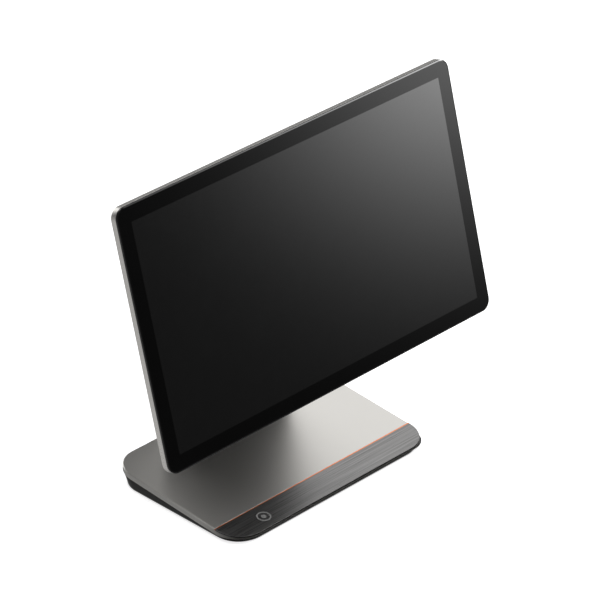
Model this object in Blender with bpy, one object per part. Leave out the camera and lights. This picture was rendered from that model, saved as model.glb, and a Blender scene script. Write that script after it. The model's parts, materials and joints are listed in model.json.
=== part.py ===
"""Desktop touchscreen kiosk: a slim touch display hinged to a slanted neck on a thin wedge base.

Metres, +Z up, +X to the right as a user faces the screen, +Y towards the back.
The origin is the middle of the footprint, on the surface the feet stand on.
"""

from math import atan2, cos, pi, radians, sin, tan

import bmesh
import bpy
from mathutils import Vector

MM = 0.001
GAP = 0.3 * MM  # air between pieces that touch

# Display head, measured in its own plane: x across, rise up the screen, depth behind the glass
HEAD_WIDTH = 371.2 * MM
HEAD_HEIGHT = 221.2 * MM
HEAD_CORNER = 9.5 * MM
HEAD_DEPTH = 7.3 * MM
SCREEN_TILT = radians(15)
SCREEN_MIDDLE_Y = -44.1 * MM
SCREEN_MIDDLE_Z = 208.4 * MM
GLASS_THICK = 1.4 * MM
GLASS_BEVEL = 1.0 * MM
RIM_INSET = 2.4 * MM
CAVITY_INSET = 6.2 * MM
LEDGE_DEPTH = 2.5 * MM
FLOOR_DEPTH = 5.5 * MM
ACTIVE_WIDTH = 344.2 * MM
ACTIVE_HEIGHT = 193.6 * MM

# Electronics housing on the back of the head
HOUSING_WIDTH = 252 * MM
HOUSING_TOP = 54 * MM
HOUSING_BOTTOM = -72 * MM
HOUSING_CORNER = 16 * MM
HOUSING_DEPTH = 30 * MM
HOUSING_WALL = 2.4 * MM
HOUSING_DRAFT = 12 * MM
VENT_COUNT = 15
VENT_PITCH = 8 * MM

# Hinge
HINGE_RISE = -12 * MM
HINGE_DEPTH = 43 * MM
HINGE_RADIUS = 9 * MM
SHAFT_RADIUS = 4 * MM
BARREL_HALF = 22 * MM
EAR_INNER = 24.5 * MM
EAR_THICK = 4 * MM

# Base
BASE_WIDTH = 228.4 * MM
BASE_DEPTH = 149 * MM
FRONT_CORNER = 24.8 * MM
BACK_CORNER = 24 * MM
FOOT_DROP = 1 * MM
FRONT_TOP = FOOT_DROP + 5.5 * MM
TOP_SLOPE = radians(4.31)
BAND = 4.7 * MM
EDGE_CHAMFER = 0.8 * MM
ACCENT_SETBACK = 26.6 * MM
ACCENT_WIDTH = 0.9 * MM
STRIP_THICK = 1.2 * MM
TOP_WALL = 2 * MM
SIDE_WALL = 2.4 * MM

# Neck
NECK_WIDTH = 130 * MM
NECK_THICK = 13 * MM
NECK_FOOT_Y = 52 * MM
NECK_FRONT_WALL = 2.6 * MM
NECK_SIDE_WALL = 4 * MM
SHOULDER = 14 * MM
COVER_THICK = 2 * MM
CHANNEL_CLEAR_LOW = 18 * MM
CHANNEL_CLEAR_HIGH = 10 * MM
CABLE_ENTRY_HALF = 28 * MM
CABLE_ENTRY_UP = (24 * MM, 10 * MM)
CABLE_EXIT_HEIGHT = 14 * MM

# Worked out from the dimensions above
FRONT_Y = -BASE_DEPTH / 2
BACK_Y = BASE_DEPTH / 2
ACCENT_Y = FRONT_Y + ACCENT_SETBACK
PARTING_BEND_Y = FRONT_Y + FRONT_CORNER
HINGE_Y = SCREEN_MIDDLE_Y + HINGE_RISE * sin(SCREEN_TILT) + HINGE_DEPTH * cos(SCREEN_TILT)
HINGE_Z = SCREEN_MIDDLE_Z + HINGE_RISE * cos(SCREEN_TILT) - HINGE_DEPTH * sin(SCREEN_TILT)
ARC_STEPS = 7
ROUND_STEPS = 24


def top_z(y):
    """Height of the base's sloping top plane."""
    return FRONT_TOP + (y - FRONT_Y) * tan(TOP_SLOPE)


def parting_z(y):
    """Height of the seam between the metal cover and the dark lower case."""
    return top_z(max(y, PARTING_BEND_Y)) - BAND


NECK_LEAN = atan2(NECK_FOOT_Y - HINGE_Y, HINGE_Z - top_z(NECK_FOOT_Y))
NECK_LENGTH = (HINGE_Z - top_z(NECK_FOOT_Y)) / cos(NECK_LEAN)

COLOURS = {
    "silver": ((0.42, 0.41, 0.39), 0.32, 1.0),
    "glass": ((0.008, 0.008, 0.009), 0.06, 0.0),
    "brushed_dark": ((0.05, 0.05, 0.052), 0.35, 1.0),
    "copper": ((0.60, 0.20, 0.09), 0.30, 1.0),
    "dark_metal": ((0.030, 0.030, 0.031), 0.40, 0.6),
    "dark_plastic": ((0.018, 0.018, 0.017), 0.55, 0.0),
    "steel": ((0.45, 0.45, 0.46), 0.35, 1.0),
    "zinc": ((0.55, 0.54, 0.50), 0.38, 1.0),
    "rubber": ((0.012, 0.012, 0.012), 0.85, 0.0),
    "board": ((0.01, 0.07, 0.04), 0.50, 0.0),
    "black_panel": ((0.01, 0.01, 0.012), 0.30, 0.0),
    "nickel": ((0.60, 0.59, 0.57), 0.25, 1.0),
    "aluminium": ((0.55, 0.56, 0.57), 0.35, 1.0),
    "tape": ((0.03, 0.03, 0.03), 0.80, 0.0),
    "polyimide": ((0.30, 0.13, 0.03), 0.40, 0.0),
    "white_plastic": ((0.70, 0.70, 0.68), 0.45, 0.0),
}


def clear_scene():
    for thing in list(bpy.data.objects):
        bpy.data.objects.remove(thing, do_unlink=True)


def finish_of(piece, finish):
    """Give a piece its own Principled material in one of the finishes."""
    colour, roughness, metallic = COLOURS[finish]
    material = bpy.data.materials.new(f"{piece}_{finish}")
    material.use_nodes = True
    shader = material.node_tree.nodes["Principled BSDF"]
    shader.inputs["Base Color"].default_value = (*colour, 1.0)
    shader.inputs["Roughness"].default_value = roughness
    shader.inputs["Metallic"].default_value = metallic
    return material


def add_object(name, mesh, finish, parent=None, location=(0, 0, 0)):
    thing = bpy.data.objects.new(name, mesh)
    bpy.context.scene.collection.objects.link(thing)
    thing.parent = parent
    thing.location = location
    if finish:
        mesh.materials.append(finish_of(name, finish))
    else:
        thing.hide_render = True
        thing.display_type = "WIRE"
    return thing


def skin(name, rings, finish, parent=None, location=(0, 0, 0), loop=False):
    """A closed solid through a row of equal rings of points, capped at both ends unless it loops."""
    bm = bmesh.new()
    rows = [[bm.verts.new(point) for point in ring] for ring in rings]
    pairs = list(zip(rows, rows[1:]))
    if loop:
        pairs.append((rows[-1], rows[0]))
    for low, high in pairs:
        for i in range(len(low)):
            j = (i + 1) % len(low)
            bm.faces.new((low[i], low[j], high[j], high[i]))
    if not loop:
        bm.faces.new(list(reversed(rows[0])))
        bm.faces.new(rows[-1])
    bmesh.ops.recalc_face_normals(bm, faces=bm.faces)
    mesh = bpy.data.meshes.new(name)
    bm.to_mesh(mesh)
    bm.free()
    return add_object(name, mesh, finish, parent, location)


def box(name, x, y, z, finish, parent=None, location=(0, 0, 0)):
    """A box between two values on each axis."""
    corners = [(x[0], y[0]), (x[1], y[0]), (x[1], y[1]), (x[0], y[1])]
    rings = [[(cx, cy, height) for cx, cy in corners] for height in z]
    return skin(name, rings, finish, parent, location)


def circle(radius, steps=ROUND_STEPS):
    angles = [2 * pi * i / steps for i in range(steps)]
    return [(radius * cos(angle), radius * sin(angle)) for angle in angles]


PLACES = {
    "x": lambda along, p, q: (along, p, q),
    "y": lambda along, p, q: (p, along, q),
    "z": lambda along, p, q: (p, q, along),
}


def turned(name, axis, profile, finish, parent=None, location=(0, 0, 0), steps=ROUND_STEPS, loop=False):
    """A turned piece: the profile is a row of (place along the axis, radius)."""
    place = PLACES[axis]
    rings = [[place(along, p, q) for p, q in circle(radius, steps)] for along, radius in profile]
    piece = skin(name, rings, finish, parent, location, loop)
    if finish and steps >= ROUND_STEPS:
        piece.data.shade_smooth()
        piece.data.set_sharp_from_angle(angle=radians(35))
    return piece


def washer(name, axis, ends, inner, outer, finish, parent=None, location=(0, 0, 0), steps=ROUND_STEPS):
    profile = [(ends[0], inner), (ends[0], outer), (ends[1], outer), (ends[1], inner)]
    return turned(name, axis, profile, finish, parent, location, steps, loop=True)


def rounded(x, y, radii, steps=ARC_STEPS):
    """Rounded rectangle between two values on each axis, radii for its high-y and low-y corners."""
    high, low = radii
    corners = [
        (x[1] - high, y[1] - high, high, 0),
        (x[0] + high, y[1] - high, high, 1),
        (x[0] + low, y[0] + low, low, 2),
        (x[1] - low, y[0] + low, low, 3),
    ]
    points = []
    for cx, cy, radius, quarter in corners:
        for i in range(steps + 1):
            angle = (quarter + i / steps) * pi / 2
            points.append((cx + radius * cos(angle), cy + radius * sin(angle)))
    return points


def centred(width, depth, radii, middle=0.0, steps=ARC_STEPS):
    half = width / 2
    return rounded((-half, half), (middle - depth / 2, middle + depth / 2), radii, steps)


def boolean(piece, tool, operation):
    change = piece.modifiers.new(f"{operation.lower()}_{tool.name}", "BOOLEAN")
    change.operation = operation
    change.object = tool
    change.solver = "EXACT"


def cut(piece, *tools):
    for tool in tools:
        boolean(piece, tool, "DIFFERENCE")


def join(piece, *tools):
    for tool in tools:
        boolean(piece, tool, "UNION")


def on_head(outline, depth):
    """Points of the head: x, then depth behind the glass, then rise, about the hinge axis."""
    return [(x, depth - HINGE_DEPTH, rise - HINGE_RISE) for x, rise in outline]


def head_box(name, x, depth, rise, finish, parent):
    moved_depth = [value - HINGE_DEPTH for value in depth]
    moved_rise = [value - HINGE_RISE for value in rise]
    return box(name, x, moved_depth, moved_rise, finish, parent)


def head_round(name, x, rise, profile, finish, parent, steps=ROUND_STEPS, loop=False):
    """A turned piece with its axis square to the glass, its profile given by depth and radius."""
    moved = [(depth - HINGE_DEPTH, radius) for depth, radius in profile]
    place = (x, 0, rise - HINGE_RISE)
    return turned(name, "y", moved, finish, parent, place, steps, loop)


def shell_outline(inset=0.0):
    radius = max(HEAD_CORNER - inset, 1.5 * MM)
    return centred(HEAD_WIDTH - 2 * inset, HEAD_HEIGHT - 2 * inset, (radius, radius))


def make_screen(head):
    """Cover glass, touch sensor, sealing tape, display cell and backlight, front to back."""
    skin(
        "cover_glass",
        [
            on_head(shell_outline(GLASS_BEVEL), 0),
            on_head(shell_outline(), 0.5 * MM),
            on_head(shell_outline(), GLASS_THICK),
        ],
        "glass",
        head,
    )
    sensor = centred(ACTIVE_WIDTH + 14 * MM, ACTIVE_HEIGHT + 14.4 * MM, (2 * MM, 2 * MM), steps=2)
    sensor_front = GLASS_THICK + GAP
    skin(
        "touch_sensor",
        [on_head(sensor, sensor_front), on_head(sensor, sensor_front + 0.4 * MM)],
        "black_panel",
        head,
    )
    tape_inset = RIM_INSET + 0.4 * MM
    tape_outer = centred(HEAD_WIDTH - 2 * tape_inset, HEAD_HEIGHT - 2 * tape_inset, (6 * MM, 6 * MM), steps=3)
    tape_inner = centred(359.6 * MM, 211 * MM, (3 * MM, 3 * MM), steps=3)
    tape_back = sensor_front + 0.5 * MM
    skin(
        "seal_tape",
        [
            on_head(tape_outer, sensor_front),
            on_head(tape_outer, tape_back),
            on_head(tape_inner, tape_back),
            on_head(tape_inner, sensor_front),
        ],
        "tape",
        head,
        loop=True,
    )
    half_width = ACTIVE_WIDTH / 2 + 3.9 * MM
    half_height = ACTIVE_HEIGHT / 2 + 5.6 * MM
    cell_back = LEDGE_DEPTH + 1.1 * MM
    head_box(
        "display_cell",
        (-half_width, half_width),
        (LEDGE_DEPTH, cell_back),
        (-half_height, half_height),
        "black_panel",
        head,
    )
    head_box(
        "backlight_unit",
        (-half_width, half_width),
        (cell_back + GAP, FLOOR_DEPTH - GAP),
        (-half_height, half_height),
        "aluminium",
        head,
    )


STANDOFF_X = 104 * MM
STANDOFF_RISES = (32 * MM, -58 * MM)
BUTTON_RISE = -70 * MM
BUTTON_MIDDLE = 4.2 * MM
CABLE_WINDOW_X = (-84 * MM, -58 * MM)
CABLE_WINDOW_RISE = (36 * MM, 44 * MM)


def make_head_shell(head):
    """Silver back shell: a shallow tray with a ledge for the tape, standoffs and a button slot."""
    front = GLASS_THICK + GAP
    fillet = 1 * MM
    shell = skin(
        "head_shell",
        [
            on_head(shell_outline(fillet), HEAD_DEPTH),
            on_head(shell_outline(fillet * 0.29), HEAD_DEPTH - fillet * 0.29),
            on_head(shell_outline(), HEAD_DEPTH - fillet),
            on_head(shell_outline(), front),
            on_head(shell_outline(RIM_INSET), front),
            on_head(shell_outline(RIM_INSET), LEDGE_DEPTH),
            on_head(shell_outline(CAVITY_INSET), LEDGE_DEPTH),
            on_head(shell_outline(CAVITY_INSET), FLOOR_DEPTH),
        ],
        "silver",
        head,
    )
    overlap = 0.8 * MM
    standoff_end = HOUSING_DEPTH - HOUSING_WALL - GAP
    for side in (-1, 1):
        for rise in STANDOFF_RISES:
            place = (side * STANDOFF_X, rise)
            post = [(HEAD_DEPTH - overlap, 3.4 * MM), (standoff_end, 3.4 * MM)]
            bore = [(HEAD_DEPTH + 2 * MM, 1.7 * MM), (HOUSING_DEPTH, 1.7 * MM)]
            join(shell, head_round("standoff_tool", *place, post, None, head, 12))
            cut(shell, head_round("standoff_bore_tool", *place, bore, None, head, 12))
    wall = HEAD_WIDTH / 2
    slot_rise = (BUTTON_RISE - 6.7 * MM, BUTTON_RISE + 6.7 * MM)
    pocket_rise = (BUTTON_RISE - 8 * MM, BUTTON_RISE + 8 * MM)
    slot_depth = (BUTTON_MIDDLE - 1.6 * MM, BUTTON_MIDDLE + 1.6 * MM)
    pocket_depth = (BUTTON_MIDDLE - 1.9 * MM, BUTTON_MIDDLE + 1.9 * MM)
    slot_x = (wall - 4 * MM, wall + 2 * MM)
    pocket_x = (wall - CAVITY_INSET - 2 * MM, wall - 2.6 * MM)
    cut(shell, head_box("button_slot_tool", slot_x, slot_depth, slot_rise, None, head))
    cut(shell, head_box("button_pocket_tool", pocket_x, pocket_depth, pocket_rise, None, head))
    window_depth = (FLOOR_DEPTH - 1 * MM, HEAD_DEPTH + 1 * MM)
    cut(shell, head_box("window_tool", CABLE_WINDOW_X, window_depth, CABLE_WINDOW_RISE, None, head))


def make_power_button(head):
    """The power key in the right edge of the head, with a flange that keeps it in, and its switch."""
    button = bpy.data.objects.new("power_button_pivot", None)
    bpy.context.scene.collection.objects.link(button)
    button.parent = head
    wall = HEAD_WIDTH / 2
    button.location = (wall, BUTTON_MIDDLE - HINGE_DEPTH, BUTTON_RISE - HINGE_RISE)
    cap_depth = (-1.3 * MM, 1.3 * MM)
    cap_rise = (-6.4 * MM, 6.4 * MM)
    flange_depth = (-1.6 * MM, 1.6 * MM)
    flange_rise = (-7.6 * MM, 7.6 * MM)
    key = box("power_button", (-3.6 * MM, -0.05 * MM), cap_depth, cap_rise, "silver", button)
    join(key, box("flange_tool", (-4.3 * MM, -3.2 * MM), flange_depth, flange_rise, None, button))
    switch_x = (-8.6 * MM, -5.4 * MM)
    switch_depth = (-1.2 * MM, 0.9 * MM)
    box("power_switch", switch_x, switch_depth, (-3 * MM, 3 * MM), "white_plastic", head, button.location)


# (name, middle across, width, height along the depth)
JACKS = [
    ("dc_inlet", -37.5 * MM, 9 * MM, 11 * MM),
    ("lan_port", -19 * MM, 16 * MM, 13.4 * MM),
    ("usb_ports", 2.5 * MM, 14.5 * MM, 15 * MM),
    ("drawer_port", 22 * MM, 13 * MM, 12 * MM),
]
JACK_FACE = HOUSING_BOTTOM + 0.4 * MM
JACK_BACK = JACK_FACE + 17 * MM
BOARD_DEPTH = 10 * MM
BOARD_THICK = 1.6 * MM
JACK_DEPTH = BOARD_DEPTH + BOARD_THICK + GAP


def housing_outline(share, inset=0.0):
    """Outline of the rear housing, share 0 at the head shell and 1 at its back face."""
    side = HOUSING_WIDTH / 2 - share * HOUSING_DRAFT - inset
    top = HOUSING_TOP - share * HOUSING_DRAFT - inset
    bottom = HOUSING_BOTTOM + share * 1.5 * MM + inset
    radius = HOUSING_CORNER - share * 4 * MM - inset
    return rounded((-side, side), (bottom, top), (radius, radius), 5)


def make_rear_housing(head):
    """Dark housing over the electronics, with vents, jack cut-outs and slots for the hinge ears."""
    front = HEAD_DEPTH + GAP
    edge = 1.5 * MM
    floor = HOUSING_DEPTH - HOUSING_WALL
    inner_share = floor / HOUSING_DEPTH
    housing = skin(
        "rear_housing",
        [
            on_head(housing_outline(1, edge), HOUSING_DEPTH),
            on_head(housing_outline(1 - edge / HOUSING_DEPTH), HOUSING_DEPTH - edge),
            on_head(housing_outline(0), front),
            on_head(housing_outline(0, HOUSING_WALL), front),
            on_head(housing_outline(inner_share, HOUSING_WALL), floor),
        ],
        "dark_plastic",
        head,
    )
    through = (floor - 1 * MM, HOUSING_DEPTH + 1 * MM)
    vent_half = 1.2 * MM
    for i in range(VENT_COUNT):
        x = (i - (VENT_COUNT - 1) / 2) * VENT_PITCH
        vent_x = (x - vent_half, x + vent_half)
        cut(housing, head_box("vent_tool", vent_x, through, (14 * MM, 32 * MM), None, head))
    for side in (-1, 1):
        ear_x = sorted((side * (EAR_INNER - 0.5 * MM), side * (EAR_INNER + EAR_THICK + 0.5 * MM)))
        ear_rise = (HINGE_RISE - HINGE_RADIUS - 0.5 * MM, HINGE_RISE + HINGE_RADIUS + 0.5 * MM)
        cut(housing, head_box("ear_slot_tool", ear_x, through, ear_rise, None, head))
        for i in range(8):
            x = side * 74 * MM + (i - 3.5) * 4 * MM
            slot_x = (x - 0.9 * MM, x + 0.9 * MM)
            slot_rise = (HOUSING_BOTTOM - 2 * MM, HOUSING_BOTTOM + 5 * MM)
            cut(housing, head_box("grille_tool", slot_x, (13 * MM, 21 * MM), slot_rise, None, head))
        for rise in STANDOFF_RISES:
            hole = [(through[0], 1.8 * MM), (through[1], 1.8 * MM)]
            cut(housing, head_round("screw_hole_tool", side * STANDOFF_X, rise, hole, None, head, 12))
    for name, middle, width, height in JACKS:
        margin = 0.4 * MM
        hole_x = (middle - width / 2 - margin, middle + width / 2 + margin)
        hole_depth = (JACK_DEPTH - margin, JACK_DEPTH + height + margin)
        hole_rise = (HOUSING_BOTTOM - 2 * MM, HOUSING_BOTTOM + 5 * MM)
        cut(housing, head_box(f"{name}_hole_tool", hole_x, hole_depth, hole_rise, None, head))


def make_housing_screws(head):
    seat = HOUSING_DEPTH + GAP
    names = ("upper", "lower")
    for side, side_name in ((-1, "left"), (1, "right")):
        for rise, rise_name in zip(STANDOFF_RISES, names):
            profile = [
                (14 * MM, 1.3 * MM),
                (seat, 1.3 * MM),
                (seat, 3 * MM),
                (seat + 0.8 * MM, 2.9 * MM),
                (seat + 1.4 * MM, 1.8 * MM),
            ]
            head_round(
                f"housing_screw_{rise_name}_{side_name}", side * STANDOFF_X, rise, profile, "steel", head, 12
            )


def jack(name, middle, width, height, head):
    """The solid metal body of a jack, its open face looking down out of the housing."""
    x = (middle - width / 2, middle + width / 2)
    return head_box(name, x, (JACK_DEPTH, JACK_DEPTH + height), (JACK_FACE, JACK_BACK), "nickel", head)


def make_io_board(head):
    """The connector board at the foot of the housing and the four jacks soldered on it."""
    board_depth = (BOARD_DEPTH, BOARD_DEPTH + BOARD_THICK)
    head_box("io_board", (-46 * MM, 46 * MM), board_depth, (-66.5 * MM, -38 * MM), "board", head)
    pieces = {}
    for name, middle, width, height in JACKS:
        pieces[name] = (jack(name, middle, width, height, head), middle, JACK_DEPTH + height / 2)
    mouth = JACK_FACE - 1 * MM
    inlet, middle, depth = pieces["dc_inlet"]
    hole = turned(
        "inlet_tool",
        "z",
        [(mouth - HINGE_RISE, 3.1 * MM), (JACK_FACE + 11 * MM - HINGE_RISE, 3.1 * MM)],
        None,
        head,
        (middle, depth - HINGE_DEPTH, 0),
    )
    cut(inlet, hole)
    sockets = [
        ("lan_port", 11.8 * MM, 8.2 * MM, 0, 12 * MM),
        ("usb_ports", 12.6 * MM, 5.2 * MM, -3.6 * MM, 13 * MM),
        ("usb_ports", 12.6 * MM, 5.2 * MM, 3.6 * MM, 13 * MM),
        ("drawer_port", 9.6 * MM, 6.8 * MM, 0, 11 * MM),
    ]
    for name, width, height, offset, deep in sockets:
        piece, middle, depth = pieces[name]
        x = (middle - width / 2, middle + width / 2)
        span = (depth + offset - height / 2, depth + offset + height / 2)
        cut(piece, head_box(f"{name}_tool", x, span, (mouth, JACK_FACE + deep), None, head))


def make_main_board(head):
    """Main board with its finned heat sink, and the flat cable that feeds the display."""
    x = (-98 * MM, -46 * MM)
    top = 34 * MM
    head_box("main_board", x, (BOARD_DEPTH, BOARD_DEPTH + BOARD_THICK), (-50 * MM, top), "board", head)
    sink_base = BOARD_DEPTH + BOARD_THICK + GAP
    plate = 2 * MM
    fin_tip = sink_base + 11 * MM
    fins = 9
    pitch = 4.4 * MM
    fin = 1.4 * MM
    start = -90 * MM
    comb = [(start, sink_base), (start + (fins - 1) * pitch + fin, sink_base)]
    for i in reversed(range(fins)):
        left = start + i * pitch
        comb += [(left + fin, fin_tip), (left, fin_tip)]
        if i:
            comb += [(left, sink_base + plate), (left - pitch + fin, sink_base + plate)]
    rings = [
        [(px, depth - HINGE_DEPTH, rise - HINGE_RISE) for px, depth in comb] for rise in (-42 * MM, 0)
    ]
    skin("heat_sink", rings, "aluminium", head)
    thick = 0.4 * MM
    start_depth = FLOOR_DEPTH + 0.1 * MM
    bend_depth = BOARD_DEPTH + BOARD_THICK + 2.2 * MM
    out_rise = 40 * MM
    end_rise = 24 * MM
    path = [
        (start_depth, out_rise),
        (bend_depth, out_rise),
        (bend_depth, end_rise),
        (bend_depth - 1.9 * MM, end_rise),
        (bend_depth - 1.9 * MM, end_rise + 4 * MM),
        (bend_depth - thick, end_rise + 4 * MM),
        (bend_depth - thick, out_rise - thick),
        (start_depth, out_rise - thick),
    ]
    rings = [
        [(px, depth - HINGE_DEPTH, rise - HINGE_RISE) for depth, rise in path] for px in (-81 * MM, -61 * MM)
    ]
    skin("display_cable", rings, "polyimide", head)


def make_speakers(head):
    for side, name in ((-1, "speaker_left"), (1, "speaker_right")):
        x = sorted((side * 54 * MM, side * 96 * MM))
        speaker = head_box(name, x, (10 * MM, 23 * MM), (-66 * MM, -52.5 * MM), "black_panel", head)
        horn_x = sorted((side * 58 * MM, side * 90 * MM))
        horn = head_box(f"{name}_horn_tool", horn_x, (13 * MM, 20 * MM), (-68 * MM, -63 * MM), None, head)
        cut(speaker, horn)


def make_hinge(head):
    """Steel bracket with two ears, the shaft, friction stacks, nuts and end caps."""
    plate_back = HOUSING_DEPTH - HOUSING_WALL - GAP
    plate_front = plate_back - 2.6 * MM
    plate_rise = (-36 * MM, 12 * MM)
    plate_x = (-40 * MM, 40 * MM)
    bracket = head_box("hinge_bracket", plate_x, (plate_front, plate_back), plate_rise, "steel", head)
    root = plate_front + 1 * MM - HINGE_DEPTH
    for side in (-1, 1):
        ear = [(root, -HINGE_RADIUS)]
        ear += [
            (HINGE_RADIUS * sin(pi * i / 12), -HINGE_RADIUS * cos(pi * i / 12)) for i in range(13)
        ]
        ear.append((root, HINGE_RADIUS))
        near = side * EAR_INNER
        far = side * (EAR_INNER + EAR_THICK)
        rings = [[(x, y, z) for y, z in ear] for x in (near, far)]
        join(bracket, skin("ear_tool", rings, None, head))
    bore = [(-60 * MM, SHAFT_RADIUS + 0.4 * MM), (60 * MM, SHAFT_RADIUS + 0.4 * MM)]
    cut(bracket, turned("ear_bore_tool", "x", bore, None, head))
    post_back = plate_front - GAP
    for side, side_name in ((-1, "left"), (1, "right")):
        for rise, rise_name in ((plate_rise[1] - 5 * MM, "upper"), (plate_rise[0] + 5 * MM, "lower")):
            profile = [(HEAD_DEPTH + GAP, 3.2 * MM), (post_back, 3.2 * MM)]
            name = f"bracket_post_{rise_name}_{side_name}"
            head_round(name, side * 35 * MM, rise, profile, "zinc", head, 6)
    shaft_end = 36.9 * MM
    tip = 0.6 * MM
    shaft = [
        (-shaft_end, SHAFT_RADIUS - tip),
        (-shaft_end + tip, SHAFT_RADIUS),
        (shaft_end - tip, SHAFT_RADIUS),
        (shaft_end, SHAFT_RADIUS - tip),
    ]
    turned("hinge_shaft", "x", shaft, "steel", head)
    bore_radius = SHAFT_RADIUS + 0.4 * MM
    for side, name in ((-1, "left"), (1, "right")):
        ring = (side * (BARREL_HALF + GAP), side * (EAR_INNER - GAP))
        washer(f"friction_washer_{name}", "x", ring, bore_radius, 7.6 * MM, "zinc", head)
        outside = EAR_INNER + EAR_THICK + GAP
        cup = [
            (side * outside, bore_radius),
            (side * outside, 7 * MM),
            (side * (outside + 0.6 * MM), 7 * MM),
            (side * (outside + 1.5 * MM), 5.6 * MM),
            (side * (outside + 1.5 * MM), bore_radius),
        ]
        turned(f"spring_washer_{name}", "x", cup, "steel", head, loop=True)
        nut = (side * (outside + 1.8 * MM), side * (outside + 6.2 * MM))
        nut_piece = turned(
            f"hinge_nut_{name}", "x", [(nut[0], 6.9 * MM), (nut[1], 6.9 * MM)], "zinc", head, steps=6
        )
        nut_hole = [(side * outside, bore_radius), (side * (outside + 9 * MM), bore_radius)]
        cut(nut_piece, turned(f"nut_hole_{name}_tool", "x", nut_hole, None, head))
        cap = [
            (side * outside, 7.7 * MM),
            (side * outside, HINGE_RADIUS),
            (side * 38.2 * MM, HINGE_RADIUS),
            (side * 39 * MM, HINGE_RADIUS - 0.8 * MM),
        ]
        inner = [(side * 37.4 * MM, 7.7 * MM)]
        turned(f"hinge_cap_{name}", "x", list(reversed(cap)) + inner, "silver", head)


def base_outline(inset=0.0):
    x = (-BASE_WIDTH / 2 + inset, BASE_WIDTH / 2 - inset)
    y = (FRONT_Y + inset, BACK_Y - inset)
    return rounded(x, y, (BACK_CORNER - inset, FRONT_CORNER - inset))


def at_height(outline, height):
    return [(x, y, height(y)) for x, y in outline]


BASE_SCREWS = [(x * MM, y * MM, name) for x, y, name in (
    (-99, -34, "front_left"),
    (99, -34, "front_right"),
    (-99, 50, "rear_left"),
    (99, 50, "rear_right"),
)]
NECK_SCREWS = [(x * MM, 49.5 * MM, name) for x, name in (
    (-52, "outer_left"),
    (-18, "inner_left"),
    (18, "inner_right"),
    (52, "outer_right"),
)]
FEET = [(x * MM, y * MM, name) for x, y, name in (
    (-84, -54, "front_left"),
    (84, -54, "front_right"),
    (-84, 50, "rear_left"),
    (84, 50, "rear_right"),
)]


def make_top_cover():
    """Silver cover: sloping top, bright chamfer, side band, and a recess for the dark strip."""
    cavity_inset = SIDE_WALL
    cavity_y = (ACCENT_Y + 2.5 * MM, BACK_Y - cavity_inset)
    cavity_x = (-BASE_WIDTH / 2 + cavity_inset, BASE_WIDTH / 2 - cavity_inset)
    cavity = rounded(cavity_x, cavity_y, (BACK_CORNER - cavity_inset, 4 * MM))
    cover = skin(
        "base_top_cover",
        [
            at_height(base_outline(EDGE_CHAMFER), top_z),
            at_height(base_outline(), lambda y: top_z(y) - EDGE_CHAMFER),
            at_height(base_outline(), parting_z),
            at_height(cavity, parting_z),
            at_height(cavity, lambda y: top_z(y) - TOP_WALL),
        ],
        "silver",
    )
    for x, y, name in BASE_SCREWS:
        boss = [(parting_z(y) + 0.5 * MM, 3.6 * MM), (top_z(y) - 1 * MM, 3.6 * MM)]
        bore = [(parting_z(y) - 1 * MM, 1.8 * MM), (top_z(y) - 1.4 * MM, 1.8 * MM)]
        join(cover, turned(f"boss_{name}_tool", "z", boss, None, None, (x, y, 0), 12))
        cut(cover, turned(f"boss_bore_{name}_tool", "z", bore, None, None, (x, y, 0), 12))
    for x, y, name in NECK_SCREWS:
        hole = [(top_z(y) - 4 * MM, 2.3 * MM), (top_z(y) + 2 * MM, 2.3 * MM)]
        cut(cover, turned(f"cover_hole_{name}_tool", "z", hole, None, None, (x, y, 0), 12))
    recess_back = ACCENT_Y + ACCENT_WIDTH / 2 + GAP
    half = BASE_WIDTH / 2 + 5 * MM
    corners = [(-half, FRONT_Y - 5 * MM), (half, FRONT_Y - 5 * MM), (half, recess_back), (-half, recess_back)]
    recess = [
        at_height(corners, lambda y: top_z(y) - STRIP_THICK - GAP),
        at_height(corners, lambda y: top_z(y) + 5 * MM),
    ]
    cut(cover, skin("recess_tool", recess, None))


def strip_outline(inset=0.0):
    """Front end of the base outline, cut off square behind the strip."""
    back = ACCENT_Y - ACCENT_WIDTH / 2 - GAP
    outline = base_outline(inset)
    arcs = outline[2 * (ARC_STEPS + 1) :]
    half = BASE_WIDTH / 2 - inset
    return [(half, back), (-half, back)] + arcs


def make_front_trim():
    bottom = STRIP_THICK
    edge = 0.25 * MM
    skin(
        "base_front_strip",
        [
            at_height(strip_outline(0.1 * MM), lambda y: top_z(y) - bottom),
            at_height(strip_outline(0.1 * MM), lambda y: top_z(y) - edge),
            at_height(strip_outline(0.1 * MM + edge), top_z),
        ],
        "brushed_dark",
    )
    half = BASE_WIDTH / 2 - 0.1 * MM
    y = (ACCENT_Y - ACCENT_WIDTH / 2, ACCENT_Y + ACCENT_WIDTH / 2)
    corners = [(-half, y[0]), (half, y[0]), (half, y[1]), (-half, y[1])]
    rings = [at_height(corners, lambda y: top_z(y) - bottom), at_height(corners, top_z)]
    skin("accent_strip", rings, "copper")


CASE_FLOOR = FOOT_DROP + 1.6 * MM


def case_outline(share, inset=0.0):
    """Outline of the lower case, share 0 at the seam and 1 at its bottom."""
    side = BASE_WIDTH / 2 - 0.3 * MM - share * 1.7 * MM - inset
    front = FRONT_Y + 0.3 * MM + share * 2 * MM + inset
    back = BACK_Y - 0.3 * MM - share * 3.8 * MM - inset
    return rounded((-side, side), (front, back), (BACK_CORNER - inset, FRONT_CORNER - 4.6 * MM - inset))


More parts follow.
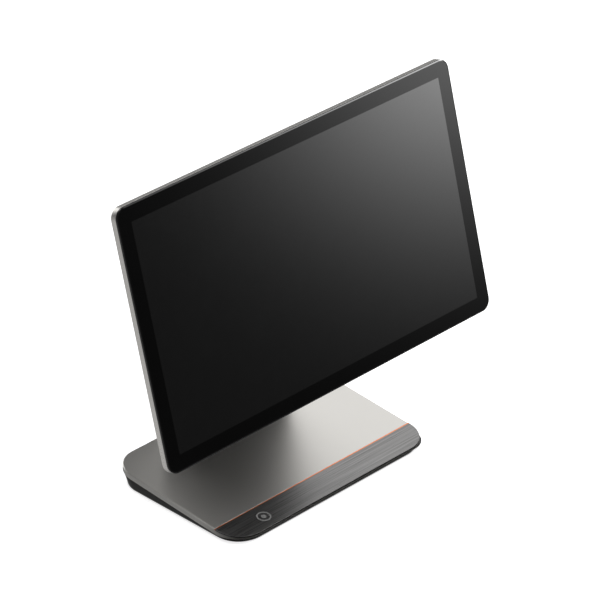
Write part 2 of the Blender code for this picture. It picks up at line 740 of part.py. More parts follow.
def make_lower_case():
    """Dark tray under the cover, its walls leaning in towards the bottom."""
    wall = 2 * MM
    case = skin(
        "base_lower_case",
        [
            at_height(case_outline(1), lambda y: FOOT_DROP),
            at_height(case_outline(0), lambda y: parting_z(y) - GAP),
            at_height(case_outline(0, wall + 1 * MM), lambda y: parting_z(y) - GAP),
            at_height(case_outline(1, wall), lambda y: CASE_FLOOR),
        ],
        "dark_plastic",
    )
    for x, y, name in FEET:
        pocket = [(-1 * MM, 8.3 * MM), (FOOT_DROP + 0.9 * MM, 8.3 * MM)]
        cut(case, turned(f"foot_pocket_{name}_tool", "z", pocket, None, None, (x, y, 0)))
    for x, y, name in BASE_SCREWS:
        sink = FOOT_DROP + 0.9 * MM
        hole = [(0, 3.4 * MM), (sink, 3.4 * MM), (sink, 1.8 * MM), (5 * MM, 1.8 * MM)]
        cut(case, turned(f"case_hole_{name}_tool", "z", hole, None, None, (x, y, 0), 12))


def make_feet_and_screws():
    for x, y, name in FEET:
        foot = [(0, 7.4 * MM), (0.4 * MM, 8 * MM), (FOOT_DROP + 0.6 * MM, 8 * MM)]
        turned(f"foot_{name}", "z", foot, "rubber", None, (x, y, 0))
    for x, y, name in BASE_SCREWS:
        under = FOOT_DROP + 0.6 * MM
        screw = [
            (FOOT_DROP, 2.8 * MM),
            (under, 3.1 * MM),
            (under, 1.4 * MM),
            (min(top_z(y) - 2.4 * MM, under + 10 * MM), 1.4 * MM),
        ]
        turned(f"base_screw_{name}", "z", screw, "steel", None, (x, y, 0), 12)


def make_weight():
    """Steel wedge that keeps the base down, with counterbored holes for the neck screws."""
    half = 88 * MM
    y = (ACCENT_Y + 5 * MM, BACK_Y - 9 * MM)
    corners = [(-half, y[0]), (half, y[0]), (half, y[1]), (-half, y[1])]
    bottom = CASE_FLOOR + GAP
    weight = skin(
        "base_weight",
        [
            at_height(corners, lambda y: bottom),
            at_height(corners, lambda y: top_z(y) - TOP_WALL - GAP),
        ],
        "steel",
    )
    for x, y, name in NECK_SCREWS:
        seat = bottom + 3.2 * MM
        hole = [(0, 4.1 * MM), (seat, 4.1 * MM), (seat, 2.3 * MM), (25 * MM, 2.3 * MM)]
        cut(weight, turned(f"weight_hole_{name}_tool", "z", hole, None, None, (x, y, 0), 12))
        under = seat - GAP
        tip = top_z(y) + 5 * MM
        screw = [(under - 2.2 * MM, 3.2 * MM), (under, 3.6 * MM), (under, 1.9 * MM), (tip, 1.9 * MM)]
        turned(f"neck_screw_{name}", "z", screw, "steel", None, (x, y, 0), 12)


def neck_point(x, back, up):
    """A point of the neck: back is square to its rear face, up runs along it, both from the hinge."""
    return Vector((x, HINGE_Y + back * cos(NECK_LEAN) - up * sin(NECK_LEAN),
                   HINGE_Z + back * sin(NECK_LEAN) + up * cos(NECK_LEAN)))


def on_base(x, back, lift=0.0):
    """Where a line down the neck meets the base's top plane, raised by a lift."""
    start = neck_point(x, back, 0)
    step = neck_point(x, back, -1) - start
    slope = tan(TOP_SLOPE)
    travel = (top_z(start.y) + lift - start.z) / (step.z - slope * step.y)
    return start + step * travel


def neck_slab(name, x, back, ends, finish, parent=None):
    """A slab along the neck; the low end is a place up the neck, or None to stand on the base."""
    corners = [(x[0], back[0]), (x[1], back[0]), (x[1], back[1]), (x[0], back[1])]
    high = [neck_point(*corner, ends[1]) for corner in corners]
    if ends[0] is None:
        low = [on_base(*corner, GAP) for corner in corners]
    else:
        low = [neck_point(*corner, ends[0]) for corner in corners]
    origin = parent.location if parent else Vector((0, 0, 0))
    return skin(name, [[point - origin for point in ring] for ring in (low, high)], finish, parent)


def make_neck():
    """Aluminium neck: an open channel for cables, a solid foot and the barrel of the hinge."""
    half = NECK_WIDTH / 2
    deep = NECK_THICK / 2
    neck = neck_slab("neck_column", (-half, half), (-deep, deep), (None, -SHOULDER), "dark_metal")
    channel_half = half - NECK_SIDE_WALL
    channel_low = -NECK_LENGTH + CHANNEL_CLEAR_LOW
    channel_high = -SHOULDER - CHANNEL_CLEAR_HIGH
    channel_x = (-channel_half, channel_half)
    channel_back = (-deep + NECK_FRONT_WALL, deep + 2 * MM)
    cut(neck, neck_slab("channel_tool", channel_x, channel_back, (channel_low, channel_high), None))
    entry_x = (-CABLE_ENTRY_HALF, CABLE_ENTRY_HALF)
    entry_up = tuple(channel_high - drop for drop in CABLE_ENTRY_UP)
    cut(neck, neck_slab("entry_tool", entry_x, (-deep - 2 * MM, 0), entry_up, None))
    tongue_x = (-BARREL_HALF, BARREL_HALF)
    tongue_back = (-deep + 0.5 * MM, deep - 0.5 * MM)
    join(neck, neck_slab("tongue_tool", tongue_x, tongue_back, (-SHOULDER - 1 * MM, 0), None))
    hinge_place = (0, HINGE_Y, HINGE_Z)
    barrel = [(-BARREL_HALF, HINGE_RADIUS), (BARREL_HALF, HINGE_RADIUS)]
    join(neck, turned("barrel_tool", "x", barrel, None, None, hinge_place))
    bore = [(-60 * MM, SHAFT_RADIUS + 0.4 * MM), (60 * MM, SHAFT_RADIUS + 0.4 * MM)]
    cut(neck, turned("barrel_bore_tool", "x", bore, None, None, hinge_place))
    for x, y, name in NECK_SCREWS:
        hole = [(top_z(y) - 3 * MM, 2.3 * MM), (top_z(y) + 7 * MM, 2.3 * MM)]
        cut(neck, turned(f"neck_hole_{name}_tool", "z", hole, None, None, (x, y, 0), 12))
    cover_empty = bpy.data.objects.new("cable_cover_place", None)
    bpy.context.scene.collection.objects.link(cover_empty)
    cover_empty.location = neck_point(0, deep - COVER_THICK, (channel_low + channel_high) / 2)
    cover_x = (-channel_half + GAP, channel_half - GAP)
    cover_back = (deep - COVER_THICK, deep)
    neck_slab(
        "neck_cable_cover",
        cover_x,
        cover_back,
        (channel_low + CABLE_EXIT_HEIGHT, channel_high - GAP),
        "dark_plastic",
        cover_empty,
    )


def main():
    clear_scene()
    head = bpy.data.objects.new("head_pivot", None)
    bpy.context.scene.collection.objects.link(head)
    head.location = (0, HINGE_Y, HINGE_Z)
    head.rotation_euler = (-SCREEN_TILT, 0, 0)
    make_screen(head)
    make_head_shell(head)
    make_power_button(head)
    make_rear_housing(head)
    make_housing_screws(head)
    make_io_board(head)
    make_main_board(head)
    make_speakers(head)
    make_hinge(head)
    make_top_cover()
    make_front_trim()
    make_lower_case()
    make_feet_and_screws()
    make_weight()
    make_neck()


main()
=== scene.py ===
import json
from math import cos, pi, radians, sin, sqrt, tan

import bmesh
import bpy
from mathutils import Matrix, Vector


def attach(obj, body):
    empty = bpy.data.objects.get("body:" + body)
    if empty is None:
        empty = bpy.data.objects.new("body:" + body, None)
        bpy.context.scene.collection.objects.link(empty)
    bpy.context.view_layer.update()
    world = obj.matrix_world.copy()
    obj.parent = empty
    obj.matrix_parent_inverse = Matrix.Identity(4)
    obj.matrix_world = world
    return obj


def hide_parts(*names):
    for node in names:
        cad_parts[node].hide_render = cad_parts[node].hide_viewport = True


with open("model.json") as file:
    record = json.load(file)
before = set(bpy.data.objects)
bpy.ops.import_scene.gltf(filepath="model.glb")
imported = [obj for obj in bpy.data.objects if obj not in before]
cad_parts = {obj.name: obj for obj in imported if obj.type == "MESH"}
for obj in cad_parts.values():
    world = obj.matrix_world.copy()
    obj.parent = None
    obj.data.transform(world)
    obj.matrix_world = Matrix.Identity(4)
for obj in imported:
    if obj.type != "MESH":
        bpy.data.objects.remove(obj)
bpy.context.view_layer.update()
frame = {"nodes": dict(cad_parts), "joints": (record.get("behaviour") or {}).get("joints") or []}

mm = 0.001
joints = {joint["name"]: joint for joint in frame["joints"]}
arcSteps = 14  # points round each corner
roundSteps = 48  # points round a turned piece


def pieceName(node):
    first, *rest = node.split("_")
    return first + "".join(word.title() for word in rest)


def makeObject(name, mesh, sharpAngle=32):
    piece = bpy.data.objects.new(name, mesh)
    bpy.context.scene.collection.objects.link(piece)
    mesh.shade_smooth()
    mesh.set_sharp_from_angle(angle=radians(sharpAngle))
    return piece


def ringsInto(bm, rings, capLast=True, loop=False):
    # skin of a row of rings, closed at both ends or run round into a loop
    rows = [[bm.verts.new(point) for point in ring] for ring in rings]
    made = []
    pairs = list(zip(rows, rows[1:]))
    if loop:
        pairs.append((rows[-1], rows[0]))
    for first, second in pairs:
        for i in range(len(first)):
            j = (i + 1) % len(first)
            made.append(bm.faces.new((first[i], first[j], second[j], second[i])))
    if not loop:
        made.append(bm.faces.new(list(reversed(rows[0]))))
    if capLast and not loop:
        made.append(bm.faces.new(rows[-1]))
    return made


def meshFrom(name, bm):
    bmesh.ops.recalc_face_normals(bm, faces=bm.faces)
    mesh = bpy.data.meshes.new(name)
    bm.to_mesh(mesh)
    bm.free()
    return mesh


def loft(name, rings, sharpAngle=32):
    bm = bmesh.new()
    ringsInto(bm, rings)
    return makeObject(name, meshFrom(name, bm), sharpAngle)


def roundedOutline(x, y, radii, steps=arcSteps):
    # rounded rectangle between two values on each axis, radii for its high-y and low-y corners
    high, low = radii
    corners = [
        (x[1] - high, y[1] - high, high),
        (x[0] + high, y[1] - high, high),
        (x[0] + low, y[0] + low, low),
        (x[1] - low, y[0] + low, low),
    ]
    points = []
    for quarter, (cx, cy, radius) in enumerate(corners):
        for i in range(steps + 1):
            angle = (quarter + i / steps) * pi / 2
            points.append((cx + radius * cos(angle), cy + radius * sin(angle)))
    return points


def boxInto(bm, x, y, z, turn=lambda a, b, c: (a, b, c)):
    corners = [(x[0], y[0]), (x[1], y[0]), (x[1], y[1]), (x[0], y[1])]
    ringsInto(bm, [[turn(cx, cy, cz) for cx, cy in corners] for cz in z])


def circlePoints(radius, steps=roundSteps, lobes=0, lobeDepth=0.0):
    points = []
    for i in range(steps):
        angle = 2 * pi * i / steps
        reach = radius + lobeDepth * cos(lobes * angle)
        points.append((reach * cos(angle), reach * sin(angle)))
    return points


def turnedRings(profile, turn):
    # profile is a row of (place along the axis, radius)
    return [[turn(along, p, q) for p, q in circlePoints(radius)] for along, radius in profile]


def quarterTurn(steps):
    return [i / steps * pi / 2 for i in range(steps + 1)]


def roundCorner(along, radius, size, end):
    # quarter round on a turned profile, end is -1 at a piece's low end and +1 at its high end
    points = []
    for angle in quarterTurn(4):
        points.append((along + end * size * sin(angle), radius - size * (1 - cos(angle))))
    return points if end > 0 else list(reversed(points))


def softenEdges(piece, width):
    soften = piece.modifiers.new("softEdges", "BEVEL")
    soften.width = width
    soften.segments = 2
    soften.limit_method = "ANGLE"
    soften.angle_limit = radians(35)


def applyModifiers(piece, sharpAngle=32):
    bpy.context.view_layer.update()
    graph = bpy.context.evaluated_depsgraph_get()
    mesh = bpy.data.meshes.new_from_object(piece.evaluated_get(graph))
    mesh.name = piece.name
    piece.modifiers.clear()
    piece.data = mesh
    mesh.shade_smooth()
    mesh.set_sharp_from_angle(angle=radians(sharpAngle))


def combine(piece, tools, operation, sharpAngle=32):
    for tool in tools:
        change = piece.modifiers.new("combine", "BOOLEAN")
        change.operation = operation
        change.solver = "EXACT"
        change.object = tool
    applyModifiers(piece, sharpAngle)
    for tool in tools:
        bpy.data.objects.remove(tool, do_unlink=True)


def toolFrom(bm):
    return makeObject("tool", meshFrom("tool", bm))


def addNode(tree, kind, sockets=None, **settings):
    node = tree.nodes.new(kind)
    for key, value in settings.items():
        setattr(node, key, value)
    for key, value in (sockets or {}).items():
        if isinstance(value, bpy.types.NodeSocket):
            tree.links.new(value, node.inputs[key])
        else:
            node.inputs[key].default_value = value
    return node


def mathNode(tree, operation, *values):
    return addNode(tree, "ShaderNodeMath", dict(enumerate(values)), operation=operation).outputs[0]


def vectorNode(tree, operation, *values):
    return addNode(tree, "ShaderNodeVectorMath", dict(enumerate(values)), operation=operation)


def rangeNode(tree, value, low, high, start=0.0, end=1.0, kind="LINEAR"):
    sockets = {"Value": value, "From Min": low, "From Max": high, "To Min": start, "To Max": end}
    return addNode(tree, "ShaderNodeMapRange", sockets, interpolation_type=kind).outputs["Result"]


def smoothStep(tree, value, low, high, start=0.0, end=1.0):
    return rangeNode(tree, value, low, high, start, end, "SMOOTHSTEP")


def mixNumbers(tree, factor, first, second):
    return addNode(tree, "ShaderNodeMix", {0: factor, 2: first, 3: second}, data_type="FLOAT").outputs[0]


def grainFinish(name, colour, roughness, metallic=0.0, grain=900, depth=0.02, stretch=(1, 1, 1),
                tone=0.06, roughSpread=0.05, mottle=22, shader=None):
    # colour with a slow mottle, and a fine grain that drives roughness and bump
    material = bpy.data.materials.new(name)
    material.use_nodes = True
    tree = material.node_tree
    principled = tree.nodes["Principled BSDF"]
    principled.inputs["Metallic"].default_value = metallic
    for key, value in (shader or {}).items():
        principled.inputs[key].default_value = value
    spot = addNode(tree, "ShaderNodeTexCoord")
    spread = addNode(tree, "ShaderNodeMapping", {"Vector": spot.outputs["Object"], "Scale": stretch})
    fine = addNode(tree, "ShaderNodeTexNoise",
                   {"Vector": spread.outputs["Vector"], "Scale": grain, "Detail": 3.0, "Roughness": 0.6})
    slow = addNode(tree, "ShaderNodeTexNoise",
                   {"Vector": spread.outputs["Vector"], "Scale": mottle, "Detail": 4.0})
    share = rangeNode(tree, mathNode(tree, "ADD", fine.outputs["Fac"], slow.outputs["Fac"]), 0.7, 1.3)
    dark = tuple(value * (1 - tone) for value in colour)
    light = tuple(min(1.0, value * (1 + tone)) for value in colour)
    paint = addNode(tree, "ShaderNodeMix", {"Factor": share}, data_type="RGBA")
    paint.inputs[6].default_value = (*dark, 1)
    paint.inputs[7].default_value = (*light, 1)
    tree.links.new(paint.outputs[2], principled.inputs["Base Color"])
    gloss = rangeNode(tree, fine.outputs["Fac"], 0.3, 0.7, max(0.0, roughness - roughSpread),
                      roughness + roughSpread)
    tree.links.new(gloss, principled.inputs["Roughness"])
    if depth:
        bump = addNode(tree, "ShaderNodeBump", {
            "Height": fine.outputs["Fac"], "Distance": depth * mm, "Strength": 0.5})
        tree.links.new(bump.outputs["Normal"], principled.inputs["Normal"])
    return material


print("finishes")
finishes = {
    "silverShell": grainFinish("silverShell", (0.72, 0.705, 0.675), 0.30, 1.0, grain=2600, depth=0.006,
                               tone=0.02),
    "silverTop": grainFinish("silverTop", (0.72, 0.705, 0.675), 0.43, 1.0, grain=2600, depth=0.002, tone=0.01,
                             roughSpread=0.02),
    "brushedStrip": grainFinish("brushedStrip", (0.255, 0.252, 0.25), 0.36, 1.0, grain=2600, depth=0.012,
                                stretch=(0.010, 1, 1), tone=0.36, roughSpread=0.09, mottle=900),
    "copper": grainFinish("copper", (0.97, 0.27, 0.07), 0.34, 0.8, grain=1800, depth=0.003,
                          stretch=(0.03, 1, 1), tone=0.04),
    "darkCase": grainFinish("darkCase", (0.011, 0.011, 0.0105), 0.46, grain=2200, depth=0.03, tone=0.12,
                            shader={"Specular IOR Level": 0.35}),
    "darkNeck": grainFinish("darkNeck", (0.014, 0.014, 0.0145), 0.42, 0.2, grain=2200, depth=0.012,
                            tone=0.08),
    "steel": grainFinish("steel", (0.47, 0.47, 0.48), 0.32, 1.0, grain=1400, depth=0.01, tone=0.08),
    "zinc": grainFinish("zinc", (0.56, 0.55, 0.50), 0.36, 1.0, grain=900, depth=0.01, tone=0.10, mottle=140),
    "rubber": grainFinish("rubber", (0.013, 0.013, 0.013), 0.82, grain=1600, depth=0.04, tone=0.15),
    "board": grainFinish("board", (0.010, 0.065, 0.038), 0.42, grain=600, depth=0.02, tone=0.25, mottle=180),
    "nickel": grainFinish("nickel", (0.63, 0.61, 0.58), 0.22, 1.0, grain=1500, depth=0.005, tone=0.05),
    "sheetAluminium": grainFinish("sheetAluminium", (0.60, 0.61, 0.62), 0.33, 1.0, grain=1200, depth=0.008,
                                  stretch=(0.1, 1, 1), tone=0.06),
    "foamTape": grainFinish("foamTape", (0.028, 0.028, 0.028), 0.85, grain=1800, depth=0.05, tone=0.2),
    "blackPanel": grainFinish("blackPanel", (0.010, 0.010, 0.012), 0.28, grain=800, depth=0.005, tone=0.1),
    "insulator": grainFinish("insulator", (0.022, 0.022, 0.022), 0.5, grain=1500, depth=0.01, tone=0.1),
    "film": grainFinish("film", (0.33, 0.14, 0.03), 0.30, grain=500, depth=0.005, tone=0.12,
                        shader={"Coat Weight": 0.3}),
    "whitePlastic": grainFinish("whitePlastic", (0.70, 0.70, 0.67), 0.42, grain=1400, depth=0.01, tone=0.03),
    "contact": grainFinish("contact", (0.80, 0.58, 0.24), 0.25, 1.0, grain=1500, depth=0.003, tone=0.05),
    "markPrint": grainFinish("markPrint", (0.30, 0.30, 0.295), 0.45, grain=1400, depth=0.004, tone=0.05),
    "glassBorder": grainFinish("glassBorder", (0.0022, 0.0022, 0.0022), 0.035, grain=90, depth=0, tone=0.15,
                               roughSpread=0.006, shader={"IOR": 1.42}),
    "glassBevel": grainFinish("glassBevel", (0.0022, 0.0022, 0.0022), 0.05, grain=90, depth=0, tone=0.15,
                              roughSpread=0.006, shader={"IOR": 2.0}),
    "glassActive": grainFinish("glassActive", (0.0048, 0.0048, 0.0048), 0.045, grain=90, depth=0, tone=0.12,
                               roughSpread=0.008, shader={"IOR": 1.85}),
}


def place(piece, body, slot, nodes, *finishNames):
    # a new piece stands for its CAD nodes, rides on their body and wears its finishes
    for finishName in finishNames:
        piece.data.materials.append(finishes[finishName])
    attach(piece, body)
    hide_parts(*nodes)
    return piece


head = {
    "tilt": radians(15),
    "hingeDepth": 43 * mm,  # hinge behind the front of the glass
    "hingeRise": -12 * mm,  # hinge above the middle of the screen
    "width": 371.2 * mm,
    "height": 221.2 * mm,
    "corner": 9.5 * mm,
    "depth": 7.3 * mm,
    "activeWidth": 344.2 * mm,
    "activeHeight": 193.6 * mm,
    "glassBevel": (0.95 * mm, 0.20 * mm),  # across the front, down the side
    "glassDepth": 1.7 * mm,
    "glassEdgeRadius": 0.05 * mm,
    "glassInset": 0.08 * mm,
    "shellInset": 0.02 * mm,
    "backRound": 0.35 * mm,
}
hinge = Vector(joints["head_tilt"]["pos_m"])


def headPoint(x, depth, rise):
    back = depth - head["hingeDepth"]
    up = rise - head["hingeRise"]
    tilt = head["tilt"]
    y = hinge.y + back * cos(tilt) + up * sin(tilt)
    return Vector((x, y, hinge.z - back * sin(tilt) + up * cos(tilt)))


def headOutline(inset):
    half = head["width"] / 2 - inset
    high = head["height"] / 2 - inset
    radius = max(head["corner"] - inset, 0.3 * mm)
    return roundedOutline((-half, half), (-high, high), (radius, radius))


def onHead(outline, depth):
    return [headPoint(x, depth, rise) for x, rise in outline]


def makeCoverGlass():
    # polished slab with a fine bevel; the lit area is a field of its own behind the border
    reach, drop = head["glassBevel"]
    edge = head["glassEdgeRadius"]
    profile = [(0.25 * mm, head["glassDepth"]), (0.05 * mm, head["glassDepth"] - 0.2 * mm)]
    profile += [(0, drop + edge), (edge * 0.25, drop - edge * 0.3)]
    profile += [(reach - edge, edge * 0.35), (reach + edge, 0)]
    rings = [onHead(headOutline(inset + head["glassInset"]), depth) for inset, depth in profile]
    half = head["activeWidth"] / 2
    high = head["activeHeight"] / 2
    active = onHead(roundedOutline((-half, half), (-high, high), (0.25 * mm, 0.25 * mm)), 0)
    bm = bmesh.new()
    faces = ringsInto(bm, rings + [active], capLast=False)
    around = len(active)
    for face in faces[2 * around:5 * around]:
        face.material_index = 2  # the bevel
    bm.verts.ensure_lookup_table()
    field = bm.faces.new(bm.verts[-len(active):])
    field.material_index = 1  # the lit area
    glass = makeObject("coverGlass", meshFrom("coverGlass", bm), 8)
    place(glass, "head", "cover_glass", ["cover_glass"], "glassBorder", "glassActive", "glassBevel")


powerKey = {
    "rise": -70 * mm,
    "depth": 4.2 * mm,
    "length": 12.8 * mm,
    "width": 2.6 * mm,
    "proud": -0.05 * mm,  # face against the side of the shell
    "clearance": 0.3 * mm,
    "pocket": 4.9 * mm,
    "reach": 3.6 * mm,  # how deep the key goes into the shell
    "round": 0.35 * mm,
}


def keyOutline(inset):
    # outline of the key in the side of the shell, depth first, then rise
    halfWidth = powerKey["width"] / 2 - inset
    halfLength = powerKey["length"] / 2 - inset
    radius = halfWidth - 0.05 * mm
    depth = powerKey["depth"]
    rise = powerKey["rise"]
    return roundedOutline((depth - halfWidth, depth + halfWidth), (rise - halfLength, rise + halfLength),
                          (radius, radius), 8)


def onSide(x, outline):
    return [headPoint(x, depth, rise) for depth, rise in outline]


def makeHeadShell():
    fillet = head["backRound"]
    start = head["glassDepth"] + 0.02 * mm
    inset = head["shellInset"]
    profile = [(inset + 0.3 * mm, start), (inset + 0.05 * mm, start), (inset, start + 0.08 * mm)]
    for angle in quarterTurn(6):
        profile.append((inset + fillet * (1 - cos(angle)), head["depth"] - fillet * (1 - sin(angle))))
    rings = [onHead(headOutline(inset), depth) for inset, depth in profile]
    shell = loft("headShell", rings, sharpAngle=24)
    wall = head["width"] / 2
    gap = -powerKey["clearance"]
    slot = bmesh.new()
    ringsInto(slot, [onSide(x, keyOutline(gap)) for x in (wall - powerKey["pocket"], wall + 2 * mm)])
    combine(shell, [toolFrom(slot)], "DIFFERENCE", 24)
    place(shell, "head", "silver_metal", ["head_shell"], "silverShell")


def makePowerKey():
    wall = head["width"] / 2
    face = wall + powerKey["proud"]
    soft = powerKey["round"]
    stations = [(wall - powerKey["reach"], 0)]
    for angle in quarterTurn(4):
        stations.append((face - soft + soft * sin(angle), soft * (1 - cos(angle))))
    rings = [onSide(x, keyOutline(inset)) for x, inset in stations]
    key = loft("powerKey", rings)
    place(key, "power_key", "silver_metal", ["power_button"], "silverShell")


housing = {
    "width": 252 * mm,
    "top": 54 * mm,
    "bottom": -72 * mm,
    "corner": 16 * mm,
    "depth": 30 * mm,
    "draft": 12 * mm,
    "edge": 2.2 * mm,
    "wall": 2.4 * mm,
    "vents": 15,
    "ventPitch": 8 * mm,
    "ventWidth": 2.4 * mm,
    "ventRise": (14 * mm, 32 * mm),
    "grilleSlots": 8,
    "grillePitch": 4 * mm,
    "grilleMiddle": 74 * mm,
    "screwX": 104 * mm,
    "screwRises": (32 * mm, -58 * mm),
}
jacks = {
    "dc_inlet": (-37.5 * mm, 9 * mm, 11 * mm),  # middle across, width, height along the depth
    "lan_port": (-19 * mm, 16 * mm, 13.4 * mm),
    "usb_ports": (2.5 * mm, 14.5 * mm, 15 * mm),
    "drawer_port": (22 * mm, 13 * mm, 12 * mm),
}
jackPlace = {
    "face": housing["bottom"] + 0.4 * mm,
    "back": housing["bottom"] + 17.4 * mm,
    "depth": 11.9 * mm,
}


def housingOutline(depth, inset=0.0):
    share = depth / housing["depth"]
    side = housing["width"] / 2 - share * housing["draft"] - inset
    top = housing["top"] - share * housing["draft"] - inset
    bottom = housing["bottom"] + share * 1.5 * mm + inset
    radius = housing["corner"] - share * 4 * mm - inset
    return roundedOutline((-side, side), (bottom, top), (radius, radius), 12)


def stadium(middle, width, ends, steps=6):
    # slot outline with round ends, across first and then along
    radius = width / 2
    points = []
    for i in range(steps + 1):
        angle = i / steps * pi
        points.append((middle + radius * cos(angle), ends[1] - radius + radius * sin(angle)))
    for i in range(steps + 1):
        angle = pi + i / steps * pi
        points.append((middle + radius * cos(angle), ends[0] + radius + radius * sin(angle)))
    return points


def makeRearHousing():
    front = head["depth"] + 0.3 * mm
    edge = housing["edge"]
    back = housing["depth"]
    step = 0.5 * mm
    rings = [
        onHead(housingOutline(front, housing["wall"]), back - housing["wall"]),
        onHead(housingOutline(front, housing["wall"]), front),
        onHead(housingOutline(front, step), front),
        onHead(housingOutline(front, step), front + 0.8 * mm),
        onHead(housingOutline(front, 0), front + 0.8 * mm),
    ]
    for angle in quarterTurn(5):
        depth = back - edge * (1 - sin(angle))
        rings.append(onHead(housingOutline(depth, edge * (1 - cos(angle))), depth))
    body = loft("rearHousing", rings)
    through = (back - 4 * mm, back + 1 * mm)
    cuts = bmesh.new()
    for i in range(housing["vents"]):
        x = (i - (housing["vents"] - 1) / 2) * housing["ventPitch"]
        outline = stadium(x, housing["ventWidth"], housing["ventRise"])
        ringsInto(cuts, [onHead(outline, depth) for depth in through])
    for side in (-1, 1):
        ear = sorted((side * 24 * mm, side * 29 * mm))
        rise = (head["hingeRise"] - 9.5 * mm, head["hingeRise"] + 9.5 * mm)
        boxInto(cuts, ear, through, rise, headPoint)
        for i in range(housing["grilleSlots"]):
            step = i - (housing["grilleSlots"] - 1) / 2
            x = side * housing["grilleMiddle"] + step * housing["grillePitch"]
            slot = stadium(x, 1.8 * mm, (13 * mm, 21 * mm), 4)
            rises = (housing["bottom"] - 2 * mm, housing["bottom"] + 5 * mm)
            ringsInto(cuts, [[headPoint(px, depth, rise) for px, depth in slot] for rise in rises])
        for rise in housing["screwRises"]:
            middle = side * housing["screwX"]
            for depths, radius in (((back - 0.5 * mm, back + 1 * mm), 4.6 * mm), (through, 1.8 * mm)):
                ringsInto(cuts, [onHead([(middle + p, rise + q) for p, q in circlePoints(radius, 32)], depth)
                                 for depth in depths])
                if radius > 4 * mm:
                    combine(body, [toolFrom(cuts)], "DIFFERENCE")
                    cuts = bmesh.new()
    for middle, width, height in jacks.values():
        margin = 0.4 * mm
        across = (middle - width / 2 - margin, middle + width / 2 + margin)
        deep = (jackPlace["depth"] - margin, jackPlace["depth"] + height + margin)
        boxInto(cuts, across, deep, (housing["bottom"] - 2 * mm, housing["bottom"] + 5 * mm), headPoint)
    combine(body, [toolFrom(cuts)], "DIFFERENCE")
    place(body, "head", "dark_plastic", ["rear_housing"], "darkCase")


housingScrew = {"radius": 3 * mm, "height": 1.5 * mm, "shank": 1.3 * mm, "length": 12 * mm}
baseScrew = {"radius": 3.1 * mm, "height": 0.6 * mm, "shank": 1.4 * mm, "length": 6 * mm}


def screwRings(turn, seat, radius, height, shank, length):
    # pan head with a six-lobed recess, seat is where the head rests and height is outward
    rings = [[turn(seat - length, p, q) for p, q in circlePoints(shank)]]
    rings.append([turn(seat, p, q) for p, q in circlePoints(shank)])
    for along, reach in ((0, 1.0), (0.45, 1.0), (0.75, 0.93), (0.93, 0.78), (1.0, 0.62)):
        rings.append([turn(seat + along * height, p, q) for p, q in circlePoints(radius * reach)])
    lobes = circlePoints(radius * 0.44, roundSteps, 6, radius * 0.06)
    rings.append([turn(seat + height, p, q) for p, q in lobes])
    rings.append([turn(seat + 0.25 * height, p, q) for p, q in lobes])
    return rings


def makeHousingScrews():
    for side, sideName in ((-1, "left"), (1, "right")):
        for rise, riseName in zip(housing["screwRises"], ("upper", "lower")):
            name = f"housing_screw_{riseName}_{sideName}"
            middle = side * housing["screwX"]
            rings = screwRings(lambda along, p, q: headPoint(middle + p, along, rise + q),
                               housing["depth"] - 0.3 * mm, **housingScrew)
            place(loft(pieceName(name), rings), "head", "steel", [name], "steel")


def jackShell(bm, middle, width, height, openings):
    # sheet metal body: outer faces, and for each opening a hollow with its own walls
    depth = jackPlace["depth"]
    face = jackPlace["face"]
    across = (middle - width / 2, middle + width / 2)
    boxInto(bm, across, (depth, depth + height), (face, jackPlace["back"]), headPoint)
    hollow = bmesh.new()
    for across, deep, reach in openings:
        boxInto(hollow, across, deep, (face - 1 * mm, face + reach), headPoint)
    return hollow


sockets = {  # width, height, offset from the middle, how deep
    "lan_port": [(11.8 * mm, 8.2 * mm, 0, 12 * mm)],
    "usb_ports": [(12.6 * mm, 5.2 * mm, offset, 13 * mm) for offset in (-3.6 * mm, 3.6 * mm)],
    "drawer_port": [(9.6 * mm, 6.8 * mm, 0, 11 * mm)],
}
pinCounts = {"lan_port": 8, "drawer_port": 6}
pinPitch = 1.02 * mm
usbPinPitch = 2.5 * mm
inletPin = ((11 * mm, 0.95 * mm), (2.2 * mm, 0.95 * mm), (1.6 * mm, 0.5 * mm))  # how deep, radius


